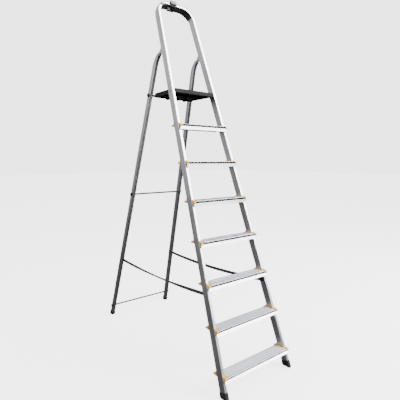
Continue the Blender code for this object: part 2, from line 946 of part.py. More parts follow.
def make_platform():
    turn_y, turn_z = platform_pivot()
    front_y = stile_rear(platform_top) - stile_level_depth + 0.001
    _, rod_height, rod_size = rods()[0]
    rod_y = leg_middle(rod_height)
    rear_y = rod_y - platform_short_of_rod
    low = platform_top - platform_thickness
    outline = [
        (rear_y, low),
        (rear_y, platform_top - 0.003),
        (rear_y - 0.003, platform_top),
        (front_y + 0.008, platform_top),
        (front_y + 0.004, platform_top - 0.0012),
        (front_y + 0.0012, platform_top - 0.004),
        (front_y, platform_top - 0.008),
        (front_y, low + 0.003),
        (front_y + 0.003, low),
    ]
    rings = []
    for side in (-1, 1):
        rings.append([np.array([side * platform_half(y), y, z]) for y, z in outline])
    points, faces = stack(rings)
    platform = add_object("platform", points, faces, black_plastic())
    belly_front = turn_y + belly_ahead
    belly_rear = rear_y - belly_short
    belly_rings = []
    for share, inset, z in ((belly_share, 0.0, low + 0.001), (belly_share * belly_narrowing, belly_slope, low - belly_depth)):
        ring = []
        for sx, y in ((-1, belly_front + inset), (1, belly_front + inset), (1, belly_rear - inset), (-1, belly_rear - inset)):
            ring.append(np.array([sx * share * platform_half(belly_rear), y, z]))
        belly_rings.append(ring)
    points, faces = stack(belly_rings)
    combine(platform, add_object("platform_belly", points, faces, black_plastic()), "UNION")
    boss_depth = 0.020
    under = low - belly_depth - 0.01
    first_y = turn_y + eye_radius + 0.004
    last_y = rear_y - platform_wall
    row_pitch = (last_y - first_y) / pocket_rows
    for row in range(pocket_rows):
        start = first_y + row * row_pitch
        end = start + row_pitch - 0.003
        usable = platform_half(end) - platform_wall
        pitch = 2 * usable / pocket_columns
        for column in range(pocket_columns):
            left = -usable + column * pitch + 0.0015
            right = left + pitch - 0.003
            pocket = [
                (start, under),
                (start, platform_top - platform_plate),
                (end, platform_top - platform_plate),
                (end, under),
            ]
            combine(platform, prism(f"pocket_{row}_{column}", pocket, left, right, black_plastic()), "DIFFERENCE")
    front_pocket = [
        (front_y + platform_wall, low - 0.01),
        (front_y + platform_wall, platform_top - platform_plate - 0.004),
        (first_y - 0.003, platform_top - platform_plate - 0.002),
        (first_y - 0.003, low - 0.01),
    ]
    usable = platform_half(first_y) - boss_depth
    combine(platform, prism("front_pocket", front_pocket, -usable, usable, black_plastic()), "DIFFERENCE")
    for side in (-1, 1):
        middle = side * hook_place * platform_half(rear_y)
        over_rod = rod_height + rod_size + fit_gap
        hook = [
            (rear_y - 0.012, platform_top - 0.0003),
            (rear_y - 0.012, over_rod),
            (rod_y + rod_size + side_gap, over_rod),
            (rod_y + rod_size + side_gap, rod_height + 0.001),
            (rod_y + rod_size + 0.0045, rod_height + 0.001),
            (rod_y + rod_size + 0.0055, platform_top - 0.003),
            (rod_y + rod_size + 0.003, platform_top - 0.0003),
        ]
        combine(
            platform,
            prism(f"rod_hook_{side}", hook, middle - hook_width / 2, middle + hook_width / 2, black_plastic()),
            "UNION",
        )
    for side, word in ((-1, "left"), (1, "right")):
        face = platform_half(turn_y)
        profile = ((face - 0.014, pin_radius + pin_gap), (face + 0.02, pin_radius + pin_gap))
        hole = turned(f"platform_hole_{word}", profile, (turn_y, turn_z), black_plastic(), side=side)
        combine(platform, hole, "DIFFERENCE")
        outer_face = outer_half(turn_z) + side_gap + 0.0004
        platform_head_radius = pin_radius + platform_head_overhang
        pin_profile = (
            (face - 0.013, pin_radius),
            (outer_face, pin_radius),
            (outer_face, platform_head_radius),
            (outer_face + 0.5 * head_height, platform_head_radius),
            (outer_face + 1.3 * head_height, platform_head_radius - 0.0020),
        )
        turned(f"platform_pin_{word}", pin_profile, (turn_y, turn_z), steel(), side=side)


# ------------------------------------------------------------- holder on top


def bar_middle_along():
    """Distance along the stile plane of the middle of the hoop's top bar."""
    return hoop_path(1)[-1][1]


def bar_prism(name, outline, x_low, x_high, made_of):
    """A section of (outward, forward) points about the middle of the top bar, extruded across the ladder."""
    along = bar_middle_along()
    ahead = stile_point(0, 0, 1) - stile_point(0, 0, 0)
    up = stile_point(0, 1, 0) - stile_point(0, 0, 0)
    rings = []
    for x in (x_low, x_high):
        origin = stile_point(x, along, stile_depth / 2)
        rings.append([origin + a * up + b * ahead for a, b in outline])
    points, faces = stack(rings)
    return add_object(name, points, faces, made_of)


def hook_pivot():
    """World (y, z) of the bucket hook's hinge, under the front part of the bar."""
    outward_distance = -(stile_width / 2 + fit_gap + cover_wall + hook_drop)
    point = stile_point(0.0, bar_middle_along() + outward_distance, stile_depth / 2)
    return np.array([point[1], point[2]])


def make_holder():
    half_w = stile_width / 2 + fit_gap + cover_wall + fit_gap
    half_d = stile_depth / 2 + fit_gap + cover_wall + fit_gap
    wall = holder_wall
    catch = holder_catch
    saddle_outline = [
        (half_w + wall, half_d + wall),
        (half_w + wall, -half_d - wall),
        (-half_w - wall, -half_d - wall),
        (-half_w - wall, half_d - catch),
        (-half_w, half_d - catch),
        (-half_w, -half_d),
        (half_w, -half_d),
        (half_w, half_d),
        (-half_w + catch, half_d),
        (-half_w + catch, half_d + wall),
    ]
    saddle = bar_prism("holder_saddle", saddle_outline, holder_left, holder_right, black_plastic())
    lug_low = -half_w - wall
    turn = hook_drop - wall
    lug = [
        (lug_low + 0.002, 0.006),
        (lug_low - turn - 0.002, 0.0045),
        (lug_low - turn - 0.0035, 0.0),
        (lug_low - turn - 0.002, -0.0045),
        (lug_low + 0.002, -0.006),
    ]
    combine(saddle, bar_prism("lug", lug, holder_left + 0.0002, holder_left + 0.008, black_plastic()), "UNION")
    pin_profile = ((holder_left + 0.004, hook_pin_radius), (hook_left - 0.001, hook_pin_radius))
    pin = turned("hook_pin", pin_profile, hook_pivot(), black_plastic(), steps=14)
    combine(saddle, pin, "UNION")
    plate = [
        (half_w + wall + 0.004, half_d + wall + fit_gap),
        (half_w + wall + 0.004, half_d + wall + 0.003),
        (half_w - 0.002, half_d + wall + 0.006),
        (-half_w + 0.008, half_d + wall + 0.006),
        (-half_w + 0.006, half_d + wall + fit_gap),
    ]
    holder_plate = bar_prism("holder_plate", plate, holder_left + 0.001, holder_right - 0.001, grey_plastic())
    tip = [
        (half_w + wall, half_d + wall + fit_gap + 0.0002),
        (half_w + wall, half_d + wall + 0.0028),
        (half_w + wall + 0.010, half_d + wall + 0.0028),
        (half_w + wall + 0.010, half_d + wall + fit_gap + 0.0002),
    ]
    combine(
        holder_plate,
        bar_prism("plate_tip", tip, holder_left + 0.0012, holder_left + 0.012, grey_plastic()),
        "UNION",
    )


def make_bucket_hook():
    """A small J-shaped hook that swings on the holder's pin."""
    turn = hook_pivot()
    x_low = hook_left
    x_high = hook_right
    body = [
        (turn[0] + 0.0050, turn[1] - 0.001),
        (turn[0] + 0.0052, turn[1] - 0.0135),
        (turn[0] + 0.0030, turn[1] - 0.0175),
        (turn[0] - 0.0050, turn[1] - 0.0185),
        (turn[0] - 0.0125, turn[1] - 0.0165),
        (turn[0] - 0.0145, turn[1] - 0.0085),
        (turn[0] - 0.0110, turn[1] - 0.0080),
        (turn[0] - 0.0095, turn[1] - 0.0130),
        (turn[0] - 0.0045, turn[1] - 0.0140),
        (turn[0] + 0.0005, turn[1] - 0.0120),
        (turn[0] + 0.0002, turn[1] - 0.001),
    ]
    hook = prism("bucket_hook", body, x_low, x_high, black_plastic())
    eye_profile = ((x_low + 0.0001, hook_eye_radius), (x_high - 0.0001, hook_eye_radius))
    combine(hook, turned("hook_eye", eye_profile, turn, black_plastic(), steps=16), "UNION")
    hole_profile = ((x_low - 0.01, hook_pin_radius + pin_gap), (x_high + 0.01, hook_pin_radius + pin_gap))
    combine(hook, turned("hook_hole", hole_profile, turn, black_plastic(), steps=14), "DIFFERENCE")


# --------------------------------------------------------------------- straps


def strap_ends():
    """(x distance from the middle, y, z) of a strap's two ends, beside the inner faces."""
    leg_z = strap_leg_height
    stile_z = strap_stile_height
    lay = fit_gap + strap_thickness / 2 + strap_width / 2 * side_taper
    leg_end = np.array([centre_half(leg_z) - leg_width / 2 - lay, leg_middle(leg_z), leg_z])
    stile_end = np.array([inner_half(stile_z) - lay, stile_middle(stile_z), stile_z])
    return leg_end, stile_end


def make_straps():
    leg_end, stile_end = strap_ends()
    for side, word in ((-1, "left"), (1, "right")):
        rings = []
        for k in range(strap_steps + 1):
            part = k / strap_steps
            middle = leg_end + (stile_end - leg_end) * part
            middle = middle - np.array([0, 0, 4 * strap_sag * part * (1 - part)])
            inset = strap_inset * math.sin(math.pi * part)
            eased = min(max((part - 0.06) / 0.88, 0.0), 1.0)
            twist = math.pi * (3 * eased**2 - 2 * eased**3)
            wide = np.array([math.sin(twist) * side, 0.0, math.cos(twist)])
            thick = np.array([math.cos(twist) * side, 0.0, -math.sin(twist)])
            centre = np.array([side * (middle[0] - inset), middle[1], middle[2]])
            w = strap_width / 2
            t = strap_thickness / 2
            rings.append([centre + a * w * wide + b * t * thick for a, b in ((1, 1), (-1, 1), (-1, -1), (1, -1))])
        points, faces = stack(rings)
        add_object(f"strap_{word}", points, faces, webbing())
        for end, place in ((leg_end, "leg"), (stile_end, "stile")):
            inner = end[0] - strap_thickness / 2 - fit_gap
            profile = (
                (inner, strap_stud_radius),
                (inner - 0.6 * strap_stud_height, strap_stud_radius),
                (inner - strap_stud_height, 0.7 * strap_stud_radius),
            )
            turned(f"strap_stud_{place}_{word}", profile, (end[1], end[2]), black_plastic(), steps=16, side=side)


def main():
    clear_scene()
    make_stiles()
    make_sleeve()
    make_cover()
    make_front_feet()
    make_treads()
    make_caps()
    make_legs()
    make_rods()
    make_rear_feet()
    make_hinges()
    make_platform()
    make_holder()
    make_bucket_hook()
    make_straps()


main()
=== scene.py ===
"""Finishes, small repeated pieces, straps and studio for a folding aluminium step ladder."""

import json
import math

import bmesh
import bpy
from bpy.props import FloatProperty, FloatVectorProperty, IntProperty, PointerProperty
from mathutils import Matrix, Vector

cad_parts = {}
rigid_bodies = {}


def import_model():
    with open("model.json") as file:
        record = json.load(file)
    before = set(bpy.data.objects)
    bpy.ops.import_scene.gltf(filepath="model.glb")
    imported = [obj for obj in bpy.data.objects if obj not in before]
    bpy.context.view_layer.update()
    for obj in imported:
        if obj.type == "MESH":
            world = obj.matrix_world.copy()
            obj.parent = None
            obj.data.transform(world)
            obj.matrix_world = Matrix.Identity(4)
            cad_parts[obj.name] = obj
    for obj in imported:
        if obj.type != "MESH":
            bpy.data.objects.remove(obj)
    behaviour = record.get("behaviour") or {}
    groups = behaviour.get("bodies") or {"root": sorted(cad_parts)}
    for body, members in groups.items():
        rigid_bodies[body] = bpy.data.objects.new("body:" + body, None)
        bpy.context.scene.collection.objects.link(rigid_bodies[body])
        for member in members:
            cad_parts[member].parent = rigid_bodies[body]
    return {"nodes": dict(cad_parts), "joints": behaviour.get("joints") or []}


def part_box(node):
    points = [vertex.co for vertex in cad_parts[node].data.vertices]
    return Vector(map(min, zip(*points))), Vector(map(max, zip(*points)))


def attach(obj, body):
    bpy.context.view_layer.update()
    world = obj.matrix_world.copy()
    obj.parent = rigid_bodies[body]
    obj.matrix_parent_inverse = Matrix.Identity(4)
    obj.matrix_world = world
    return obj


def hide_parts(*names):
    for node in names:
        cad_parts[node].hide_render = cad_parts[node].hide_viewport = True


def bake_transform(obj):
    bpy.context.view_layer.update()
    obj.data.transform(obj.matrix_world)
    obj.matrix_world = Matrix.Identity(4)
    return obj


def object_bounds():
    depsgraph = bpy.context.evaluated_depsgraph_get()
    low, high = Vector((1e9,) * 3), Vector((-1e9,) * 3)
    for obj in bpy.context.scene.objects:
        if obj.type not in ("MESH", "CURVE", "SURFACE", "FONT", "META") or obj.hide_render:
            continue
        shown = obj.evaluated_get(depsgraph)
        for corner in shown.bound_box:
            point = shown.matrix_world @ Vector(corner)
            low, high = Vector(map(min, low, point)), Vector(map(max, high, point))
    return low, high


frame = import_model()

bl_info = {
    "name": "Step Ladder Studio",
    "version": (1, 0, 0),
    "blender": (4, 5, 0),
    "location": "3D View > Sidebar > Ladder",
    "description": "Finishes a folding step ladder and sets it in a studio",
    "category": "Object",
}

CAD_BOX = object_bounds()
NODES = frame["nodes"]
JOINTS = {joint["name"]: joint for joint in frame["joints"]}
SIDES = (("left", -1), ("right", 1))


def box_of(name):
    """Lowest and highest corner of a CAD node as vectors."""
    low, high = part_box(name)
    return Vector(low), Vector(high)


def middle_of(name):
    """Middle of a CAD node's box."""
    low, high = box_of(name)
    return (low + high) / 2


def stile_lean():
    """Lean of the front frame from upright, from the lowest and highest tread."""
    low = middle_of("tread_1")
    high = middle_of("tread_7")
    return math.atan2(high.y - low.y, high.z - low.z)


def leg_lean():
    """Lean of the rear legs from upright, from the lower and middle rod."""
    low = middle_of("lower_rod")
    high = middle_of("middle_rod")
    return math.atan2(low.y - high.y, high.z - low.z)


FRONT_LEAN = stile_lean()
REAR_LEAN = leg_lean()
STILE_UP = Vector((0, math.sin(FRONT_LEAN), math.cos(FRONT_LEAN)))
STILE_AHEAD = Vector((0, -math.cos(FRONT_LEAN), math.sin(FRONT_LEAN)))

# Treads: the groove's edges under the top, and how far it reaches behind the nose, which bound the painted
# shade in the groove. The fine ridges start at one share of the tread's depth and cover another.
GROOVE_TOP = 0.0023
GROOVE_FOOT = 0.0137
GROOVE_REACH = 0.014
FIRST_RIDGE_SHARE = 0.13
RIDGED_SHARE = 0.80
RIDGE_SINK = 0.0008

# Platform: the field of grip studs.
STUD_FIELD_WIDTH = 0.235
STUD_FIELD_DEPTH = 0.165
STUD_FIELD_BEHIND_FRONT = 0.020
STUD_HEIGHT = 0.0012
STUD_LIFT = 0.0002

# Hoop's cover: its ribs, and how far they stay from the holder and from the cover's ends.
COVER_RIB_HALF_LENGTH = 0.019
COVER_RIB_CLEARANCE = 0.003
COVER_RIB_INSET = 0.006
COVER_PATH_STEPS = 22

# Rivets of a hinge bracket.
RIVET_FROM_MIDDLE = 0.0165
RIVET_AHEAD_OF_PIVOT = 0.0115
RIVET_RADIUS = 0.0034
RIVET_HEIGHT = 0.0013

# Straps. The shares are of the way from stud to stud: how far an end runs past its stud, lies flat on its
# frame, and is bound to it. The sewn box has its near and far edge from the stud.
STRAP_STEPS = 96
STRAP_COLUMNS = 6
STRAP_PAST_STUD = 0.012
STRAP_FLAT_SHARE = 0.06
STRAP_INSET = 0.004
STRAP_CLEARANCE = 0.0002
STITCH_BOX = (0.012, 0.030)
STITCH_HALF_HEIGHT = 0.00748
STITCH_SPACING = 0.0026
STITCH_HALF_LENGTH = 0.0009
STITCH_RADIUS = 0.0003


# ------------------------------------------------------------------ settings


def tint(name, description, default):
    """A colour."""
    return FloatVectorProperty(
        name=name, description=description, default=default, subtype="COLOR", size=3, min=0, max=1
    )


def length(name, description, default, least, most):
    """A length in metres."""
    return FloatProperty(
        name=name, description=description, default=default, min=least, max=most, unit="LENGTH", precision=5
    )


def factor(name, description, default):
    """A share from nought to one."""
    return FloatProperty(name=name, description=description, default=default, min=0, max=1, subtype="FACTOR")


def number(name, description, default, most):
    """A count of like pieces."""
    return IntProperty(name=name, description=description, default=default, min=1, max=most)


def power(name, description, default):
    """A light's power in watts."""
    return FloatProperty(name=name, description=description, default=default, min=0, max=5000, unit="POWER")


def brightness(name, description, default):
    """How bright something is that gives light of itself."""
    return FloatProperty(name=name, description=description, default=default, min=0, max=60)


def turning(name, description, default):
    """An angle."""
    return FloatProperty(
        name=name, description=description, default=default, min=-math.pi, max=math.pi, unit="ROTATION"
    )


class LadderMetalSettings(bpy.types.PropertyGroup):
    """The drawn aluminium and the small steel parts."""

    colour: tint("Aluminium", "Colour of the drawn aluminium", (0.66, 0.67, 0.70))
    # Painted shade: the legs' aluminium is a darker copy of the stiles' aluminium, standing in for the shade
    # on the rear legs.
    leg_shaded_colour: tint("Legs", "Colour of the legs' aluminium", (0.56, 0.565, 0.57))
    rod_colour: tint("Rods", "Colour of the rods across the legs", (0.20, 0.20, 0.205))
    steel: tint("Steel", "Colour of the pins and rivets", (0.56, 0.57, 0.58))
    roughness: factor("Roughness", "How matt the aluminium is", 0.34)
    draw_lines: factor("Draw lines", "Depth of the fine lines along each extrusion", 0.10)
    # Painted shade: how dark the groove under each tread's bead is painted, standing in for the shade in that
    # recess.
    groove_painted_shade: factor("Groove painted shade", "How dark the groove under each tread's bead is", 1.0)


class LadderPlasticSettings(bpy.types.PropertyGroup):
    """The moulded parts."""

    black: tint("Black", "Colour of the small black mouldings", (0.020, 0.020, 0.022))
    platform: tint("Platform", "Colour of the platform", (0.012, 0.012, 0.013))
    grip: tint("Grip", "Colour of the cover over the hoop", (0.055, 0.055, 0.052))
    yellow: tint("Yellow", "Colour of the tread end caps", (0.80, 0.46, 0.07))
    grey: tint("Grey", "Colour of the holder's plate", (0.16, 0.16, 0.17))
    rubber: tint("Rubber", "Colour of the feet", (0.016, 0.016, 0.018))


class LadderTreadSettings(bpy.types.PropertyGroup):
    """The fine ridges on the treads."""

    ridge_count: number("Ridges", "Fine ridges on each tread", 9, 40)
    ridge_radius: length("Ridge radius", "Radius of a fine ridge", 0.0008, 0.0001, 0.003)
    side_margin: length("Side margin", "Gap from a ridge's end to the tread's end", 0.026, 0, 0.1)


class LadderPlatformSettings(bpy.types.PropertyGroup):
    """The grip studs on the platform and the ribs on the hoop's cover."""

    columns: number("Columns", "Grip studs across the platform", 22, 60)
    rows: number("Rows", "Grip studs along the platform", 15, 60)
    stud_radius: length("Stud radius", "Radius of a grip stud", 0.0030, 0.0005, 0.01)
    cover_rib_gap: length("Cover rib gap", "Distance between the cover's ribs", 0.0085, 0.003, 0.05)
    cover_rib_radius: length("Cover rib radius", "Radius of a rib on the hoop's cover", 0.0009, 0.0003, 0.005)


class LadderStrapSettings(bpy.types.PropertyGroup):
    """The two webbing straps."""

    width: length("Width", "Width of the webbing", 0.020, 0.005, 0.06)
    thickness: length("Thickness", "Thickness of the webbing", 0.0026, 0.0005, 0.005)
    sag: length("Sag", "How far the middle hangs under a straight line", 0.022, 0, 0.2)
    lean: turning("Lean", "How far the webbing leans over in its middle", math.radians(34))
    colour: tint("Webbing", "Colour of the webbing", (0.014, 0.014, 0.016))


class LadderStageSettings(bpy.types.PropertyGroup):
    """The floor, the lights and the camera."""

    floor_colour: tint("Floor", "Colour of the floor", (0.93, 0.93, 0.93))
    floor_size: length("Floor size", "Side of the floor", 60.0, 5, 200)
    backdrop: brightness("Backdrop", "Brightness of the backdrop behind the ladder", 3.4)
    floor_glow: brightness("Floor glow", "Light that the floor gives of itself", 3.1)
    sky: brightness("Sky", "Brightness of the surroundings overhead", 0.95)
    horizon: brightness("Horizon", "Brightness of the surroundings at eye level", 0.50)
    ground: brightness("Ground", "Brightness of the ground that the metal mirrors", 0.10)
    front_light: power("Front light", "Power of the light on the climbing side", 480)
    high_light: power("High light", "Power of the light on the hoop", 420)
    low_light: power("Low light", "Power of the light that rises to the treads from in front", 420)
    side_light: power("Side light", "Power of the light on the left side", 90)
    camera_place: FloatVectorProperty(
        name="Camera", description="Where the camera stands", size=3, subtype="TRANSLATION", unit="LENGTH",
        default=(-1.44613, -1.89492, 1.22419),
    )
    camera_heading: turning("Heading", "Camera's turn from the +Y direction to the right", 0.64632)
    camera_tilt: turning("Tilt", "Camera's tilt above the horizon", -0.12342)
    camera_roll: turning("Roll", "Camera's roll", -0.00047)
    lens: FloatProperty(
        name="Lens", description="Focal length in millimetres", default=32.358, min=5, max=300
    )
    shift: FloatVectorProperty(name="Shift", description="Camera's shift", size=2, default=(0.0370, 0.0109))


# ----------------------------------------------------------------- materials


def shader_of(name):
    """A new node material, its tree and its shader."""
    made = bpy.data.materials.new(name)
    made.use_nodes = True
    tree = made.node_tree
    return made, tree, tree.nodes["Principled BSDF"]


def coordinates(tree, turn=(0, 0, 0), scale=(1, 1, 1)):
    """Object coordinates, turned and then stretched, as an output socket."""
    source = tree.nodes.new("ShaderNodeTexCoord")
    turned = tree.nodes.new("ShaderNodeMapping")
    turned.inputs["Rotation"].default_value = turn
    stretched = tree.nodes.new("ShaderNodeMapping")
    stretched.inputs["Scale"].default_value = scale
    tree.links.new(source.outputs["Object"], turned.inputs["Vector"])
    tree.links.new(turned.outputs["Vector"], stretched.inputs["Vector"])
    return stretched.outputs["Vector"]


def noise(tree, vector, scale, detail=3.0, roughness=0.5):
    """A noise texture's value."""
    node = tree.nodes.new("ShaderNodeTexNoise")
    node.inputs["Scale"].default_value = scale
    node.inputs["Detail"].default_value = detail
    node.inputs["Roughness"].default_value = roughness
    tree.links.new(vector, node.inputs["Vector"])
    return node.outputs["Fac"]


def spread(tree, value, low, high):
    """Maps a noise value from about its middle range to low and high."""
    node = tree.nodes.new("ShaderNodeMapRange")
    node.inputs["From Min"].default_value = 0.3
    node.inputs["From Max"].default_value = 0.7
    node.inputs["To Min"].default_value = low
    node.inputs["To Max"].default_value = high
    tree.links.new(value, node.inputs["Value"])
    return node.outputs["Result"]


def tinted(tree, value, dark, light):
    """A colour between two by a value."""
    ramp = tree.nodes.new("ShaderNodeValToRGB")
    ramp.color_ramp.elements[0].position = 0.3
    ramp.color_ramp.elements[0].color = (*dark, 1)
    ramp.color_ramp.elements[1].position = 0.7
    ramp.color_ramp.elements[1].color = (*light, 1)
    tree.links.new(value, ramp.inputs["Fac"])
    return ramp.outputs["Color"]


def bumped(tree, shader, value, strength, depth):
    """Drives the shader's normal with a height."""
    bump = tree.nodes.new("ShaderNodeBump")
    bump.inputs["Strength"].default_value = strength
    bump.inputs["Distance"].default_value = depth
    tree.links.new(value, bump.inputs["Height"])
    tree.links.new(bump.outputs["Normal"], shader.inputs["Normal"])


def scaled_colour(colour, factor):
    """A lighter or darker colour, no part of it over one."""
    return tuple(min(1.0, part * factor) for part in colour)


def arithmetic(tree, operation, first, second=None):
    """A math node over sockets or values."""
    node = tree.nodes.new("ShaderNodeMath")
    node.operation = operation
    for place, value in enumerate((first, second)):
        if hasattr(value, "is_linked"):
            tree.links.new(value, node.inputs[place])
        elif value is not None:
            node.inputs[place].default_value = value
    return node.outputs["Value"]


def groove_shade_mask(tree):
    """One inside the groove of each tread's nose, by the depth under its top and behind its nose: where the
    painted shade goes.
    """
    low, high = box_of("tread_1")
    _, high_above = box_of("tread_2")
    rise = high_above.z - high.z
    source = tree.nodes.new("ShaderNodeTexCoord")
    split = tree.nodes.new("ShaderNodeSeparateXYZ")
    tree.links.new(source.outputs["Object"], split.inputs["Vector"])
    height = arithmetic(tree, "SUBTRACT", split.outputs["Z"], high.z - GROOVE_FOOT)
    level = arithmetic(tree, "FLOORED_MODULO", height, rise)
    in_height = arithmetic(tree, "LESS_THAN", level, GROOVE_FOOT - GROOVE_TOP)
    above = arithmetic(tree, "SUBTRACT", split.outputs["Z"], high.z)
    nose = arithmetic(tree, "MULTIPLY", above, math.tan(FRONT_LEAN))
    behind = arithmetic(tree, "SUBTRACT", arithmetic(tree, "SUBTRACT", split.outputs["Y"], nose), low.y)
    return arithmetic(tree, "MULTIPLY", in_height, arithmetic(tree, "LESS_THAN", behind, GROOVE_REACH))


def darkened(tree, colour, mask, strength):
    """The colour mixed with a near black where the mask is one, as far as the strength says: painted shade.
    """
    mixed = tree.nodes.new("ShaderNodeMix")
    mixed.data_type = "RGBA"
    sockets = [socket for socket in mixed.inputs if socket.type == "RGBA"]
    tree.links.new(arithmetic(tree, "MULTIPLY", mask, strength), mixed.inputs["Factor"])
    tree.links.new(colour, sockets[0])
    sockets[1].default_value = (0.02, 0.02, 0.021, 1.0)
    return next(socket for socket in mixed.outputs if socket.type == "RGBA")


def drawn_out(along, lengthways, crossways):
    """The stretch of a pattern that runs along one axis."""
    return {"x": (lengthways, crossways, crossways), "z": (crossways, crossways, lengthways)}[along]


def drawn_aluminium(name, settings, colour, turn=(0, 0, 0), along="z", shade_groove=False):
    """Bare extruded aluminium, with fine draw lines along one axis, soft stains and slight handling marks,
    and, where asked, painted shade in the treads' groove.
    """
    made, tree, shader = shader_of(name)
    lines = noise(tree, coordinates(tree, turn, drawn_out(along, 2.0, 260.0)), 1.0, 2.0)
    stains = noise(tree, coordinates(tree, turn, drawn_out(along, 1.5, 6.0)), 3.0, 4.0, 0.6)
    marks = noise(tree, coordinates(tree), 90.0, 5.0, 0.7)
    base = tinted(tree, stains, scaled_colour(colour, 0.90), scaled_colour(colour, 1.06))
    # Painted shade: near black in the groove under each tread's bead, where shade falls.
    if shade_groove:
        base = darkened(tree, base, groove_shade_mask(tree), settings.groove_painted_shade)
    tree.links.new(base, shader.inputs["Base Color"])
    shader.inputs["Metallic"].default_value = 1.0
    stained = spread(tree, stains, settings.roughness - 0.05, settings.roughness + 0.08)
    roughness = arithmetic(tree, "ADD", stained, spread(tree, marks, -0.03, 0.04))
    tree.links.new(roughness, shader.inputs["Roughness"])
    bumped(tree, shader, lines, settings.draw_lines, 0.0004)
    return made


def plated_steel(settings):
    """Zinc-plated steel of the pins and rivets."""
    made, tree, shader = shader_of("ladder_plated_steel")
    grain = noise(tree, coordinates(tree), 400.0, 4.0)
    colour = tuple(settings.steel)
    base = tinted(tree, grain, scaled_colour(colour, 0.85), scaled_colour(colour, 1.1))
    tree.links.new(base, shader.inputs["Base Color"])
    shader.inputs["Metallic"].default_value = 1.0
    tree.links.new(spread(tree, grain, 0.28, 0.42), shader.inputs["Roughness"])
    bumped(tree, shader, grain, 0.15, 0.0003)
    return made


def moulded_plastic(name, colour, roughness, grain_scale=650.0, grain=0.25, shine=0.45):
    """Moulded plastic with an even spark-eroded grain and a little wear in its gloss."""
    made, tree, shader = shader_of(name)
    colour = tuple(colour)
    fine = noise(tree, coordinates(tree), grain_scale, 2.0)
    broad = noise(tree, coordinates(tree), 14.0, 4.0, 0.6)
    base = tinted(tree, broad, scaled_colour(colour, 0.82), scaled_colour(colour, 1.18))
    tree.links.new(base, shader.inputs["Base Color"])
    tree.links.new(spread(tree, broad, roughness - 0.06, roughness + 0.08), shader.inputs["Roughness"])
    shader.inputs["Specular IOR Level"].default_value = shine
    bumped(tree, shader, fine, grain, 0.0004)
    return made


def webbing_cloth(settings):
    """Woven polyester: ribs across the strap from the strap's own map, with a soft sheen."""
    made, tree, shader = shader_of("ladder_webbing")
    source = tree.nodes.new("ShaderNodeUVMap")
    source.uv_map = "strap"
    across = tree.nodes.new("ShaderNodeTexWave")
    across.wave_type = "BANDS"
    across.bands_direction = "X"
    across.inputs["Scale"].default_value = 80.0
    across.inputs["Distortion"].default_value = 0.6
    along = tree.nodes.new("ShaderNodeTexWave")
    along.wave_type = "BANDS"
    along.bands_direction = "Y"
    along.inputs["Scale"].default_value = 120.0
    for wave in (across, along):
        tree.links.new(source.outputs["UV"], wave.inputs["Vector"])
    weave = arithmetic(tree, "MULTIPLY", across.outputs["Fac"], along.outputs["Fac"])
    colour = tuple(settings.colour)
    base = tinted(tree, weave, scaled_colour(colour, 0.6), scaled_colour(colour, 1.7))
    tree.links.new(base, shader.inputs["Base Color"])
    shader.inputs["Roughness"].default_value = 0.85
    shader.inputs["Sheen Weight"].default_value = 0.25
    shader.inputs["Sheen Roughness"].default_value = 0.5
    bumped(tree, shader, weave, 0.5, 0.0006)
    return made


MADE = {}


def finish(name):
    """A finish by name, made once from the scene's settings."""
    if name in MADE:
        return MADE[name]
    scene = bpy.context.scene
    metal = scene.ladder_metal
    plastic = scene.ladder_plastic
    makers = {
        "stile": lambda: drawn_aluminium("ladder_aluminium_stile", metal, metal.colour, (FRONT_LEAN, 0, 0)),
        # The legs take the darker copy of the aluminium, as painted shade.
        "leg": lambda: drawn_aluminium("ladder_aluminium_leg", metal, metal.leg_shaded_colour, (-REAR_LEAN, 0, 0)),
        "rod": lambda: drawn_aluminium("ladder_aluminium_rod", metal, metal.rod_colour, along="x"),
        # The treads' aluminium carries the painted shade in the groove under the bead.
        "tread": lambda: drawn_aluminium(
            "ladder_aluminium_tread", metal, metal.colour, along="x", shade_groove=True
        ),
        "steel": lambda: plated_steel(metal),
        "black": lambda: moulded_plastic("ladder_black_plastic", plastic.black, 0.42),
        "platform": lambda: moulded_plastic(
            "ladder_platform_plastic", plastic.platform, 0.60, 500.0, 0.35, 0.18
        ),
        "grip": lambda: moulded_plastic("ladder_grip_plastic", plastic.grip, 0.62, 420.0, 0.4, 0.30),
        "yellow": lambda: moulded_plastic("ladder_yellow_plastic", plastic.yellow, 0.40, 700.0, 0.15),
        "grey": lambda: moulded_plastic("ladder_grey_plastic", plastic.grey, 0.45),
        "rubber": lambda: moulded_plastic("ladder_rubber", plastic.rubber, 0.68, 380.0, 0.4),
        "webbing": lambda: webbing_cloth(scene.ladder_strap),
    }
    MADE[name] = makers[name]()
    return MADE[name]


def paint(node_name, finish_name):
    """Gives a CAD node a finish."""
    node = NODES[node_name]
    if not node.material_slots:
        node.data.materials.append(None)
    for slot in node.material_slots:
        slot.material = finish(finish_name)


# ------------------------------------------------------------ geometry nodes


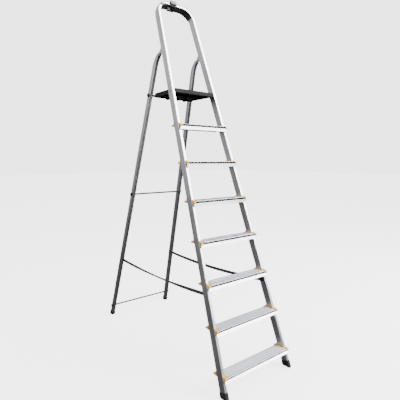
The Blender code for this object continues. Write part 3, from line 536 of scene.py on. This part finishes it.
class Nodes:
    """A geometry tree with named inputs that ends in realised, painted instances."""

    def __init__(self, name, inputs):
        self.tree = bpy.data.node_groups.new(name, "GeometryNodeTree")
        face = self.tree.interface
        face.new_socket("Geometry", in_out="INPUT", socket_type="NodeSocketGeometry")
        self.ids = {}
        for label, kind, value in inputs:
            made = face.new_socket(label, in_out="INPUT", socket_type=f"NodeSocket{kind}")
            if value is not None:
                made.default_value = value
            self.ids[label] = made.identifier
        made = face.new_socket("Material", in_out="INPUT", socket_type="NodeSocketMaterial")
        self.ids["Material"] = made.identifier
        face.new_socket("Geometry", in_out="OUTPUT", socket_type="NodeSocketGeometry")
        self.start = self.tree.nodes.new("NodeGroupInput")
        self.end = self.tree.nodes.new("NodeGroupOutput")

    def add(self, kind, links=(), **values):
        """A node with its properties set and its inputs fed: links hold (input, socket or value)."""
        node = self.tree.nodes.new(kind)
        for key, value in values.items():
            setattr(node, key, value)
        for key, source in links:
            target = node.inputs[key]
            if hasattr(source, "is_linked"):
                self.tree.links.new(source, target)
            else:
                target.default_value = source
        return node

    def given(self, label):
        """One of the tree's own inputs, as a socket."""
        return self.start.outputs[label]

    def bar(self, axis, sides):
        """A round bar of the given Radius along one axis, to the Half Length on either side."""
        minus = self.add("ShaderNodeMath", [(0, self.given("Half Length")), (1, -1.0)], operation="MULTIPLY")
        low = self.add("ShaderNodeCombineXYZ", [(axis, minus.outputs["Value"])])
        high = self.add("ShaderNodeCombineXYZ", [(axis, self.given("Half Length"))])
        line = self.add(
            "GeometryNodeCurvePrimitiveLine",
            [("Start", low.outputs["Vector"]), ("End", high.outputs["Vector"])],
        )
        ring = self.add(
            "GeometryNodeCurvePrimitiveCircle",
            [("Resolution", sides), ("Radius", self.given("Radius"))],
        )
        bar = self.add(
            "GeometryNodeCurveToMesh",
            [("Curve", line.outputs["Curve"]), ("Profile Curve", ring.outputs["Curve"]), ("Fill Caps", True)],
        )
        return bar.outputs["Mesh"]

    def along_path(self):
        """Points along the path, at the given Spacing."""
        return self.add(
            "GeometryNodeCurveToPoints",
            [("Curve", self.given("Geometry")), ("Length", self.given("Spacing"))],
            mode="LENGTH",
        )

    def facing(self, label):
        """The rotation that turns Z to a given direction."""
        turn = self.add("FunctionNodeAlignRotationToVector", [("Vector", self.given(label))], axis="Z")
        return turn.outputs["Rotation"]

    def stretch(self, label):
        """The scale along Z that takes a ball from its Radius to a given half height."""
        height = self.given(label)
        ratio = self.add("ShaderNodeMath", [(0, height), (1, self.given("Radius"))], operation="DIVIDE")
        size = self.add("ShaderNodeCombineXYZ", [("X", 1.0), ("Y", 1.0), ("Z", ratio.outputs["Value"])])
        return size.outputs["Vector"]

    def close(self, points, instance, *more):
        """Sets the instance on the points, realises and paints them all, and ends the tree."""
        placed = self.add("GeometryNodeInstanceOnPoints", [("Points", points), ("Instance", instance), *more])
        real = self.add("GeometryNodeRealizeInstances", [("Geometry", placed.outputs["Instances"])])
        painted = self.add(
            "GeometryNodeSetMaterial",
            [("Geometry", real.outputs["Geometry"]), ("Material", self.given("Material"))],
        )
        self.tree.links.new(painted.outputs["Geometry"], self.end.inputs["Geometry"])
        return self


def ridge_tree():
    """Round-topped ridges across the ladder, one beside the other."""
    nodes = Nodes(
        "ladder_ridges",
        (
            ("Count", "Int", 9),
            ("First", "Vector", (0, 0, 0)),
            ("Step", "Vector", (0, 0.006, 0)),
            ("Half Length", "Float", 0.2),
            ("Radius", "Float", 0.0008),
        ),
    )
    row = nodes.add(
        "GeometryNodeMeshLine",
        [
            ("Count", nodes.given("Count")),
            ("Start Location", nodes.given("First")),
            ("Offset", nodes.given("Step")),
        ],
        mode="OFFSET",
    )
    return nodes.close(row.outputs["Mesh"], nodes.bar("X", 8))


def stud_tree():
    """Low round studs on a flat grid."""
    nodes = Nodes(
        "ladder_grip_studs",
        (
            ("Columns", "Int", 22),
            ("Rows", "Int", 15),
            ("Width", "Float", 0.25),
            ("Depth", "Float", 0.17),
            ("Centre", "Vector", (0, 0, 0)),
            ("Radius", "Float", 0.003),
            ("Height", "Float", 0.0012),
        ),
    )
    grid = nodes.add(
        "GeometryNodeMeshGrid",
        [
            ("Size X", nodes.given("Width")),
            ("Size Y", nodes.given("Depth")),
            ("Vertices X", nodes.given("Columns")),
            ("Vertices Y", nodes.given("Rows")),
        ],
    )
    moved = nodes.add(
        "GeometryNodeTransform", [("Geometry", grid.outputs["Mesh"]), ("Translation", nodes.given("Centre"))]
    )
    stud = nodes.add(
        "GeometryNodeMeshCylinder",
        [("Vertices", 8), ("Radius", nodes.given("Radius")), ("Depth", nodes.given("Height"))],
    )
    return nodes.close(moved.outputs["Geometry"], stud.outputs["Mesh"])


def bead_tree():
    """Short bars laid across a path at an even spacing, as ribs on a grip."""
    nodes = Nodes(
        "ladder_beads",
        (
            ("Spacing", "Float", 0.008),
            ("Half Length", "Float", 0.018),
            ("Radius", "Float", 0.001),
            ("Direction", "Vector", (0, 0, 1)),
        ),
    )
    points = nodes.along_path()
    return nodes.close(points.outputs["Points"], nodes.bar("Z", 7), ("Rotation", nodes.facing("Direction")))


def stitch_tree():
    """Thread stitches along a path, each a short bead lying in the path's direction."""
    nodes = Nodes(
        "ladder_stitches",
        (("Spacing", "Float", 0.003), ("Half Length", "Float", 0.001), ("Radius", "Float", 0.0003)),
    )
    points = nodes.along_path()
    ball = nodes.add("GeometryNodeMeshIcoSphere", [("Radius", nodes.given("Radius")), ("Subdivisions", 1)])
    return nodes.close(
        points.outputs["Points"],
        ball.outputs["Mesh"],
        ("Rotation", points.outputs["Rotation"]),
        ("Scale", nodes.stretch("Half Length")),
    )


def rivet_tree():
    """Domed rivet heads on given points, all facing one way."""
    nodes = Nodes(
        "ladder_rivets",
        (("Radius", "Float", 0.004), ("Height", "Float", 0.0016), ("Facing", "Vector", (1, 0, 0))),
    )
    points = nodes.add("GeometryNodeMeshToPoints", [("Mesh", nodes.given("Geometry"))])
    ball = nodes.add(
        "GeometryNodeMeshUVSphere",
        [("Segments", 14), ("Rings", 8), ("Radius", nodes.given("Radius"))],
    )
    return nodes.close(
        points.outputs["Points"],
        ball.outputs["Mesh"],
        ("Rotation", nodes.facing("Facing")),
        ("Scale", nodes.stretch("Height")),
    )


TREES = {}


def seed_path(name, points, closed_path):
    """A poly curve through the points."""
    curve = bpy.data.curves.new(name, "CURVE")
    curve.dimensions = "3D"
    line = curve.splines.new("POLY")
    line.points.add(len(points) - 1)
    for point, place in zip(line.points, points):
        point.co = (*place, 1)
    line.use_cyclic_u = closed_path
    return curve


def seed_mesh(name, points):
    """A mesh of loose points."""
    mesh = bpy.data.meshes.new(name)
    mesh.from_pydata([tuple(point) for point in points], [], [])
    return mesh


def grown(name, nodes_name, seed_points, body, finish_name, closed_path=False, **inputs):
    """A plain mesh piece that a geometry tree makes from seed points, riding on a body."""
    makers = {
        "ridges": ridge_tree,
        "studs": stud_tree,
        "beads": bead_tree,
        "stitches": stitch_tree,
        "rivets": rivet_tree,
    }
    if nodes_name not in TREES:
        TREES[nodes_name] = makers[nodes_name]()
    nodes = TREES[nodes_name]
    on_path = nodes_name in ("beads", "stitches")
    data = seed_path(name, seed_points, closed_path) if on_path else seed_mesh(name, seed_points)
    seed = bpy.data.objects.new(f"{name}_seed", data)
    bpy.context.scene.collection.objects.link(seed)
    modifier = seed.modifiers.new("grow", "NODES")
    modifier.node_group = nodes.tree
    for label, value in inputs.items():
        modifier[nodes.ids[label.replace("_", " ").title()]] = value
    modifier[nodes.ids["Material"]] = finish(finish_name)
    graph = bpy.context.evaluated_depsgraph_get()
    graph.update()
    evaluated = seed.evaluated_get(graph)
    mesh = bpy.data.meshes.new_from_object(evaluated, preserve_all_data_layers=True, depsgraph=graph)
    seed.modifiers.remove(modifier)
    bpy.data.objects.remove(seed, do_unlink=True)
    if mesh is None or not mesh.polygons:
        raise RuntimeError(f"{name} came out empty")
    mesh.name = name
    if not mesh.materials:
        mesh.materials.append(finish(finish_name))
    made = bpy.data.objects.new(name, mesh)
    bpy.context.scene.collection.objects.link(made)
    mesh.shade_smooth()
    mesh.set_sharp_from_angle(angle=math.radians(40))
    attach(made, body)
    return made


# ----------------------------------------------------------------- operators


class LADDER_OT_finish_metal(bpy.types.Operator):
    """Give the stiles, legs, treads, rods and hinges their drawn aluminium and steel"""

    bl_idname = "ladder.finish_metal"
    bl_label = "Finish metal"

    def execute(self, context):
        for side, _ in SIDES:
            paint(f"{side}_stile", "stile")
            paint(f"rear_leg_{side}", "leg")
            paint(f"hinge_bracket_{side}", "stile")
            paint(f"leg_knuckle_{side}", "leg")
            paint(f"hinge_pin_{side}", "steel")
            paint(f"platform_pin_{side}", "steel")
        paint("hoop_joint_sleeve", "tread")
        for rod in ("upper_rod", "middle_rod", "lower_rod"):
            paint(rod, "rod")
        for name in NODES:
            if name.startswith("tread_"):
                paint(name, "tread")
        return {"FINISHED"}


class LADDER_OT_finish_mouldings(bpy.types.Operator):
    """Give the platform, caps, cover, holder and feet their moulded finishes"""

    bl_idname = "ladder.finish_mouldings"
    bl_label = "Finish mouldings"

    def execute(self, context):
        for name in NODES:
            if name.startswith("end_cap_"):
                paint(name, "yellow")
            elif name.startswith(("front_foot", "rear_foot")):
                paint(name, "rubber")
            elif "rod_cap" in name or name.startswith("strap_stud"):
                paint(name, "black")
        for name in ("holder_saddle", "bucket_hook"):
            paint(name, "black")
        paint("platform", "platform")
        paint("hoop_cover", "grip")
        paint("holder_plate", "grey")
        return {"FINISHED"}


class LADDER_OT_tread_ridges(bpy.types.Operator):
    """Lay fine grip ridges on every tread"""

    bl_idname = "ladder.tread_ridges"
    bl_label = "Tread ridges"

    def execute(self, context):
        settings = context.scene.ladder_tread
        for name in sorted(name for name in NODES if name.startswith("tread_")):
            low, high = box_of(name)
            depth = high.y - low.y
            first = low.y + FIRST_RIDGE_SHARE * depth
            pitch = RIDGED_SHARE * depth / settings.ridge_count
            grown(
                f"{name}_ridges",
                "ridges",
                [(0, 0, 0)],
                "front_frame",
                "tread",
                count=settings.ridge_count,
                first=(0.0, first, high.z - RIDGE_SINK),
                step=(0.0, pitch, 0.0),
                half_length=(high.x - low.x) / 2 - settings.side_margin,
                radius=settings.ridge_radius,
            )
        return {"FINISHED"}


class LADDER_OT_platform_grip(bpy.types.Operator):
    """Raise grip studs on the platform"""

    bl_idname = "ladder.platform_grip"
    bl_label = "Platform grip"

    def execute(self, context):
        settings = context.scene.ladder_platform
        low, high = box_of("platform")
        middle = low.y + STUD_FIELD_BEHIND_FRONT + STUD_FIELD_DEPTH / 2
        grown(
            "platform_studs",
            "studs",
            [(0, 0, 0)],
            "platform",
            "platform",
            columns=settings.columns,
            rows=settings.rows,
            width=STUD_FIELD_WIDTH,
            depth=STUD_FIELD_DEPTH,
            centre=(0.0, middle, high.z + STUD_LIFT),
            radius=settings.stud_radius,
            height=STUD_HEIGHT,
        )
        return {"FINISHED"}


class LADDER_OT_hoop_grip(bpy.types.Operator):
    """Set ribs across the underside of the hoop's cover"""

    bl_idname = "ladder.hoop_grip"
    bl_label = "Hoop grip ribs"

    def execute(self, context):
        settings = context.scene.ladder_platform
        for name, path in cover_paths():
            grown(
                name,
                "beads",
                path,
                "front_frame",
                "grip",
                spacing=settings.cover_rib_gap,
                half_length=COVER_RIB_HALF_LENGTH,
                radius=settings.cover_rib_radius,
                direction=tuple(STILE_AHEAD),
            )
        return {"FINISHED"}


def cover_paths():
    """The middle line of the cover's underside on both sides of the holder, read from the cover's mesh."""
    low, high = box_of("hoop_cover")
    saddle_low, saddle_high = box_of("holder_saddle")
    start = low.x + COVER_RIB_INSET
    end = high.x - COVER_RIB_INSET
    across = [start + (end - start) * k / COVER_PATH_STEPS for k in range(COVER_PATH_STEPS + 1)]
    left = [under_cover(x) for x in across if x < saddle_low.x - COVER_RIB_CLEARANCE]
    right = [under_cover(x) for x in across if x > saddle_high.x + COVER_RIB_CLEARANCE]
    return ("cover_ribs_left", left), ("cover_ribs_right", right)


def under_cover(x):
    """The point on the cover's underside, in the middle of its depth, at a distance across the ladder."""
    node = NODES["hoop_cover"]
    middle = middle_of("hoop_cover")
    well_below = Vector((x, middle.y, middle.z)) - STILE_UP * 0.3
    graph = bpy.context.evaluated_depsgraph_get()
    graph.update()
    hit, place, _, _ = node.evaluated_get(graph).ray_cast(well_below, STILE_UP)
    if not hit:
        raise RuntimeError("the hoop's cover has no underside there")
    return place


class LADDER_OT_rivets(bpy.types.Operator):
    """Put rivet heads where the hinge brackets are fastened to the stiles"""

    bl_idname = "ladder.rivets"
    bl_label = "Rivets"

    def execute(self, context):
        pivot = Vector(JOINTS["rear_fold"]["pos_m"])
        for side, _ in SIDES:
            centre = middle_of(f"hinge_bracket_{side}")
            ahead = (pivot - centre).dot(STILE_AHEAD) + RIVET_AHEAD_OF_PIVOT
            flange = centre + STILE_AHEAD * ahead
            grown(
                f"bracket_rivets_{side}",
                "rivets",
                [flange - STILE_UP * RIVET_FROM_MIDDLE, flange + STILE_UP * RIVET_FROM_MIDDLE],
                "front_frame",
                "steel",
                radius=RIVET_RADIUS,
                height=RIVET_HEIGHT,
                facing=tuple(-STILE_AHEAD),
            )
        return {"FINISHED"}


class LADDER_OT_straps(bpy.types.Operator):
    """Weave the two straps that stop the ladder from opening further"""

    bl_idname = "ladder.straps"
    bl_label = "Straps"

    def execute(self, context):
        settings = context.scene.ladder_strap
        for side, sign in SIDES:
            leg_end = self.end(f"strap_stud_leg_{side}", sign, settings)
            stile_end = self.end(f"strap_stud_stile_{side}", sign, settings)
            strap = self.strap(f"webbing_{side}", sign, leg_end, stile_end, settings)
            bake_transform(strap)
            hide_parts(f"strap_{side}")
            self.stitches(f"strap_stitches_leg_{side}", sign, leg_end, stile_end, settings, "rear_frame")
            self.stitches(f"strap_stitches_stile_{side}", sign, stile_end, leg_end, settings, "front_frame")
        return {"FINISHED"}

    @staticmethod
    def end(stud, sign, settings):
        """The middle of the webbing beside a stud."""
        low, high = box_of(stud)
        middle = middle_of(stud)
        middle.x = sign * (max(abs(low.x), abs(high.x)) + STRAP_CLEARANCE + settings.thickness / 2)
        return middle

    def strap(self, name, sign, leg_end, stile_end, settings):
        """A flat band of webbing that lies against both frames and leans over between them."""
        mesh = bmesh.new()
        rows = []
        length = (stile_end - leg_end).length
        for k in range(STRAP_STEPS + 1):
            part = -STRAP_PAST_STUD + (1 + 2 * STRAP_PAST_STUD) * k / STRAP_STEPS
            centre, wide, thick = self.place(sign, leg_end, stile_end, part, settings)
            rows.append((self.ring(mesh, centre, wide, thick), part * length))
        self.skin(mesh, rows, settings.width)
        data = bpy.data.meshes.new(name)
        mesh.to_mesh(data)
        mesh.free()
        data.materials.append(finish("webbing"))
        data.shade_smooth()
        data.set_sharp_from_angle(angle=math.radians(50))
        made = bpy.data.objects.new(name, data)
        bpy.context.scene.collection.objects.link(made)
        return made

    @staticmethod
    def place(sign, leg_end, stile_end, part, settings):
        """The webbing's middle at a share of its way, with its half width and half thickness as vectors."""
        inside = min(max(part, 0.0), 1.0)
        centre = leg_end.lerp(stile_end, part)
        centre.z -= 4 * settings.sag * inside * (1 - inside)
        centre.x -= sign * STRAP_INSET * math.sin(math.pi * inside)
        free = min(max((inside - STRAP_FLAT_SHARE) / (1 - 2 * STRAP_FLAT_SHARE), 0.0), 1.0)
        lean = settings.lean * math.sin(math.pi * free) ** 2
        wide = Vector((math.sin(lean) * sign, 0.0, math.cos(lean)))
        thick = Vector((math.cos(lean) * sign, 0.0, -math.sin(lean)))
        return centre, wide * settings.width / 2, thick * settings.thickness / 2

    @staticmethod
    def ring(mesh, centre, wide, thick):
        """The corners of the webbing's section, across one face and back across the other."""
        shares = [-1 + 2 * c / STRAP_COLUMNS for c in range(STRAP_COLUMNS + 1)]
        front = [mesh.verts.new(centre + wide * share + thick) for share in shares]
        back = [mesh.verts.new(centre + wide * share - thick) for share in reversed(shares)]
        return front + back

    @staticmethod
    def skin(mesh, rows, width):
        """Faces between the rings and over both ends, with a map in metres along and across the webbing."""
        layer = mesh.loops.layers.uv.new("strap")
        count = 2 * (STRAP_COLUMNS + 1)
        across = [width * min(c, count - 1 - c) / STRAP_COLUMNS for c in range(count)]
        for (lower, low_v), (upper, high_v) in zip(rows[:-1], rows[1:]):
            for c in range(count):
                after = (c + 1) % count
                face = mesh.faces.new((lower[c], lower[after], upper[after], upper[c]))
                here = across[c]
                there = across[after]
                corners = ((here, low_v), (there, low_v), (there, high_v), (here, high_v))
                for loop, corner in zip(face.loops, corners):
                    loop[layer].uv = corner
        for ring, _ in (rows[0], rows[-1]):
            for c in range(STRAP_COLUMNS):
                mesh.faces.new((ring[c], ring[c + 1], ring[count - 2 - c], ring[count - 1 - c]))
        bmesh.ops.recalc_face_normals(mesh, faces=mesh.faces)

    @staticmethod
    def stitches(name, sign, stud, other_end, settings, body):
        """A sewn box beside the stud, on the inner side of the webbing."""
        inner = stud.copy()
        inner.x -= sign * (settings.thickness / 2 + 0.0001)
        way = other_end - stud
        near, far = STITCH_BOX
        box = []
        for ahead, up in ((near, -1), (far, -1), (far, 1), (near, 1)):
            point = inner + way.normalized() * ahead
            point.z += up * STITCH_HALF_HEIGHT - 4 * settings.sag * ahead / way.length
            box.append(point)
        return grown(
            name,
            "stitches",
            box,
            body,
            "webbing",
            closed_path=True,
            spacing=STITCH_SPACING,
            half_length=STITCH_HALF_LENGTH,
            radius=STITCH_RADIUS,
        )


class LADDER_OT_stage(bpy.types.Operator):
    """Lay the floor, hang the lights and stand the camera"""

    bl_idname = "ladder.stage"
    bl_label = "Studio"

    def execute(self, context):
        settings = context.scene.ladder_stage
        self.floor(settings)
        self.surroundings(settings)
        front = self.light("front_light", (2.6, -3.4, 2.9), (0.1, -0.2, 1.1), (3.2, 3.2), settings)
        self.only_on(front, ("rear_leg_", "upper_rod", "middle_rod", "lower_rod"), "EXCLUDE")
        high = self.light("high_light", (2.5, -1.9, 4.9), (0.1, 0.1, 2.0), (3.0, 2.6), settings)
        self.only_on(high, ("left_stile", "right_stile", "hoop_cover", "holder_"))
        low = self.light("low_light", (2.4, -3.1, -1.1), (0.1, -0.3, 0.6), (3.2, 2.8), settings)
        self.only_on(low, ("tread_", "end_cap_"))
        self.light("side_light", (-3.6, 0.6, 3.0), (0, 0, 1.0), (2.5, 3.0), settings)
        self.camera(settings)
        return {"FINISHED"}

    @staticmethod
    def floor(settings):
        """A plain floor that glows of itself and throws no light on the ladder."""
        half = settings.floor_size / 2
        level = CAD_BOX[0][2] - 0.0005
        corners = [(x * half, y * half, level) for x, y in ((-1, -1), (1, -1), (1, 1), (-1, 1))]
        mesh = bpy.data.meshes.new("studio_floor")
        mesh.from_pydata(corners, [], [(0, 1, 2, 3)])
        floor = bpy.data.objects.new("studio_floor", mesh)
        bpy.context.scene.collection.objects.link(floor)
        made, tree, shader = shader_of("studio_floor_paint")
        colour = tuple(settings.floor_colour)
        cloud = noise(tree, coordinates(tree), 0.6, 2.0)
        tree.links.new(tinted(tree, cloud, scaled_colour(colour, 0.985), colour), shader.inputs["Base Color"])
        shader.inputs["Roughness"].default_value = 0.9
        shader.inputs["Emission Color"].default_value = (1.0, 1.0, 1.0, 1.0)
        shader.inputs["Emission Strength"].default_value = settings.floor_glow
        mesh.materials.append(made)
        floor.visible_diffuse = False
        floor.visible_glossy = False

    @staticmethod
    def surroundings(settings):
        """What the metal mirrors, from ground to sky, and the backdrop that only the camera sees."""
        world = bpy.data.worlds.new("studio")
        bpy.context.scene.world = world
        world.use_nodes = True
        tree = world.node_tree
        around = tree.nodes["Background"]
        source = tree.nodes.new("ShaderNodeTexCoord")
        split = tree.nodes.new("ShaderNodeSeparateXYZ")
        tree.links.new(source.outputs["Generated"], split.inputs["Vector"])
        ramp = tree.nodes.new("ShaderNodeValToRGB")
        height = tree.nodes.new("ShaderNodeMapRange")
        height.inputs["From Min"].default_value = -1.0
        tree.links.new(split.outputs["Z"], height.inputs["Value"])
        tree.links.new(height.outputs["Result"], ramp.inputs["Fac"])
        stops = ramp.color_ramp.elements
        stops[0].position = 0.42
        stops[1].position = 1.0
        stops.new(0.53)
        for stop, value in zip(stops, (settings.ground, settings.horizon, settings.sky)):
            stop.color = (value, value, value * 1.03, 1.0)
        tree.links.new(ramp.outputs["Color"], around.inputs["Color"])
        around.inputs["Strength"].default_value = 1.0
        behind = tree.nodes.new("ShaderNodeBackground")
        behind.inputs["Color"].default_value = (1.0, 1.0, 1.0, 1.0)
        behind.inputs["Strength"].default_value = settings.backdrop
        seen = tree.nodes.new("ShaderNodeLightPath")
        mixed = tree.nodes.new("ShaderNodeMixShader")
        tree.links.new(seen.outputs["Is Camera Ray"], mixed.inputs["Fac"])
        tree.links.new(around.outputs["Background"], mixed.inputs[1])
        tree.links.new(behind.outputs["Background"], mixed.inputs[2])
        tree.links.new(mixed.outputs["Shader"], tree.nodes["World Output"].inputs["Surface"])

    @staticmethod
    def light(name, place, target, size, settings):
        """A rectangular area light that faces its target, with the power set under its name."""
        data = bpy.data.lights.new(name, "AREA")
        data.shape = "RECTANGLE"
        data.size, data.size_y = size
        data.energy = getattr(settings, name)
        lamp = bpy.data.objects.new(name, data)
        lamp.location = place
        lamp.rotation_euler = (Vector(target) - Vector(place)).to_track_quat("-Z", "Y").to_euler()
        bpy.context.scene.collection.objects.link(lamp)
        return lamp

    @staticmethod
    def only_on(lamp, beginnings, state="INCLUDE"):
        """Lets a light fall only on the nodes whose names begin so, or on all but them."""
        lit = bpy.data.collections.new(f"{lamp.name}_falls_on")
        for name in NODES:
            if name.startswith(beginnings):
                lit.objects.link(NODES[name])
        for member in lit.collection_objects:
            member.light_linking.link_state = state
        lamp.light_linking.receiver_collection = lit

    @staticmethod
    def camera(settings):
        """The camera, by its place, heading, tilt and roll."""
        heading = settings.camera_heading
        tilt = settings.camera_tilt
        roll = settings.camera_roll
        level = Vector((math.sin(heading), math.cos(heading), 0))
        side = Vector((math.cos(heading), -math.sin(heading), 0))
        ahead = math.cos(tilt) * level + math.sin(tilt) * Vector((0, 0, 1))
        above = -math.sin(tilt) * level + math.cos(tilt) * Vector((0, 0, 1))
        right = math.cos(roll) * side + math.sin(roll) * above
        up = -math.sin(roll) * side + math.cos(roll) * above
        data = bpy.data.cameras.new("camera")
        data.sensor_width = 36.0
        data.lens = settings.lens
        data.shift_x, data.shift_y = settings.shift
        data.clip_end = 200.0
        camera = bpy.data.objects.new("camera", data)
        turn = Matrix((right, up, -ahead)).transposed().to_4x4()
        camera.matrix_world = Matrix.Translation(Vector(settings.camera_place)) @ turn
        bpy.context.scene.collection.objects.link(camera)
        bpy.context.scene.camera = camera


class LADDER_PT_panel(bpy.types.Panel):
    """The ladder's sizes, colours and steps"""

    bl_idname = "LADDER_PT_panel"
    bl_label = "Step ladder"
    bl_space_type = "VIEW_3D"
    bl_region_type = "UI"
    bl_category = "Ladder"

    def draw(self, context):
        for group in SETTINGS:
            box = self.layout.box()
            values = getattr(context.scene, group)
            for key in values.bl_rna.properties.keys():
                if key not in ("rna_type", "name"):
                    box.prop(values, key)
        for step in STEPS:
            self.layout.operator(step)


SETTINGS = {
    "ladder_metal": LadderMetalSettings,
    "ladder_plastic": LadderPlasticSettings,
    "ladder_tread": LadderTreadSettings,
    "ladder_platform": LadderPlatformSettings,
    "ladder_strap": LadderStrapSettings,
    "ladder_stage": LadderStageSettings,
}
OPERATORS = (
    LADDER_OT_stage,
    LADDER_OT_straps,
    LADDER_OT_finish_metal,
    LADDER_OT_finish_mouldings,
    LADDER_OT_tread_ridges,
    LADDER_OT_platform_grip,
    LADDER_OT_hoop_grip,
    LADDER_OT_rivets,
)
STEPS = [operator.bl_idname for operator in OPERATORS]


def register():
    for group in SETTINGS.values():
        bpy.utils.register_class(group)
    for name, group in SETTINGS.items():
        setattr(bpy.types.Scene, name, PointerProperty(type=group))
    for operator in OPERATORS:
        bpy.utils.register_class(operator)
    bpy.utils.register_class(LADDER_PT_panel)


def unregister():
    bpy.utils.unregister_class(LADDER_PT_panel)
    for operator in reversed(OPERATORS):
        bpy.utils.unregister_class(operator)
    for name in SETTINGS:
        delattr(bpy.types.Scene, name)
    for group in reversed(SETTINGS.values()):
        bpy.utils.unregister_class(group)


def main():
    register()
    for step in STEPS:
        family, name = step.split(".")
        getattr(getattr(bpy.ops, family), name)()


if __name__ == "__main__":
    main()
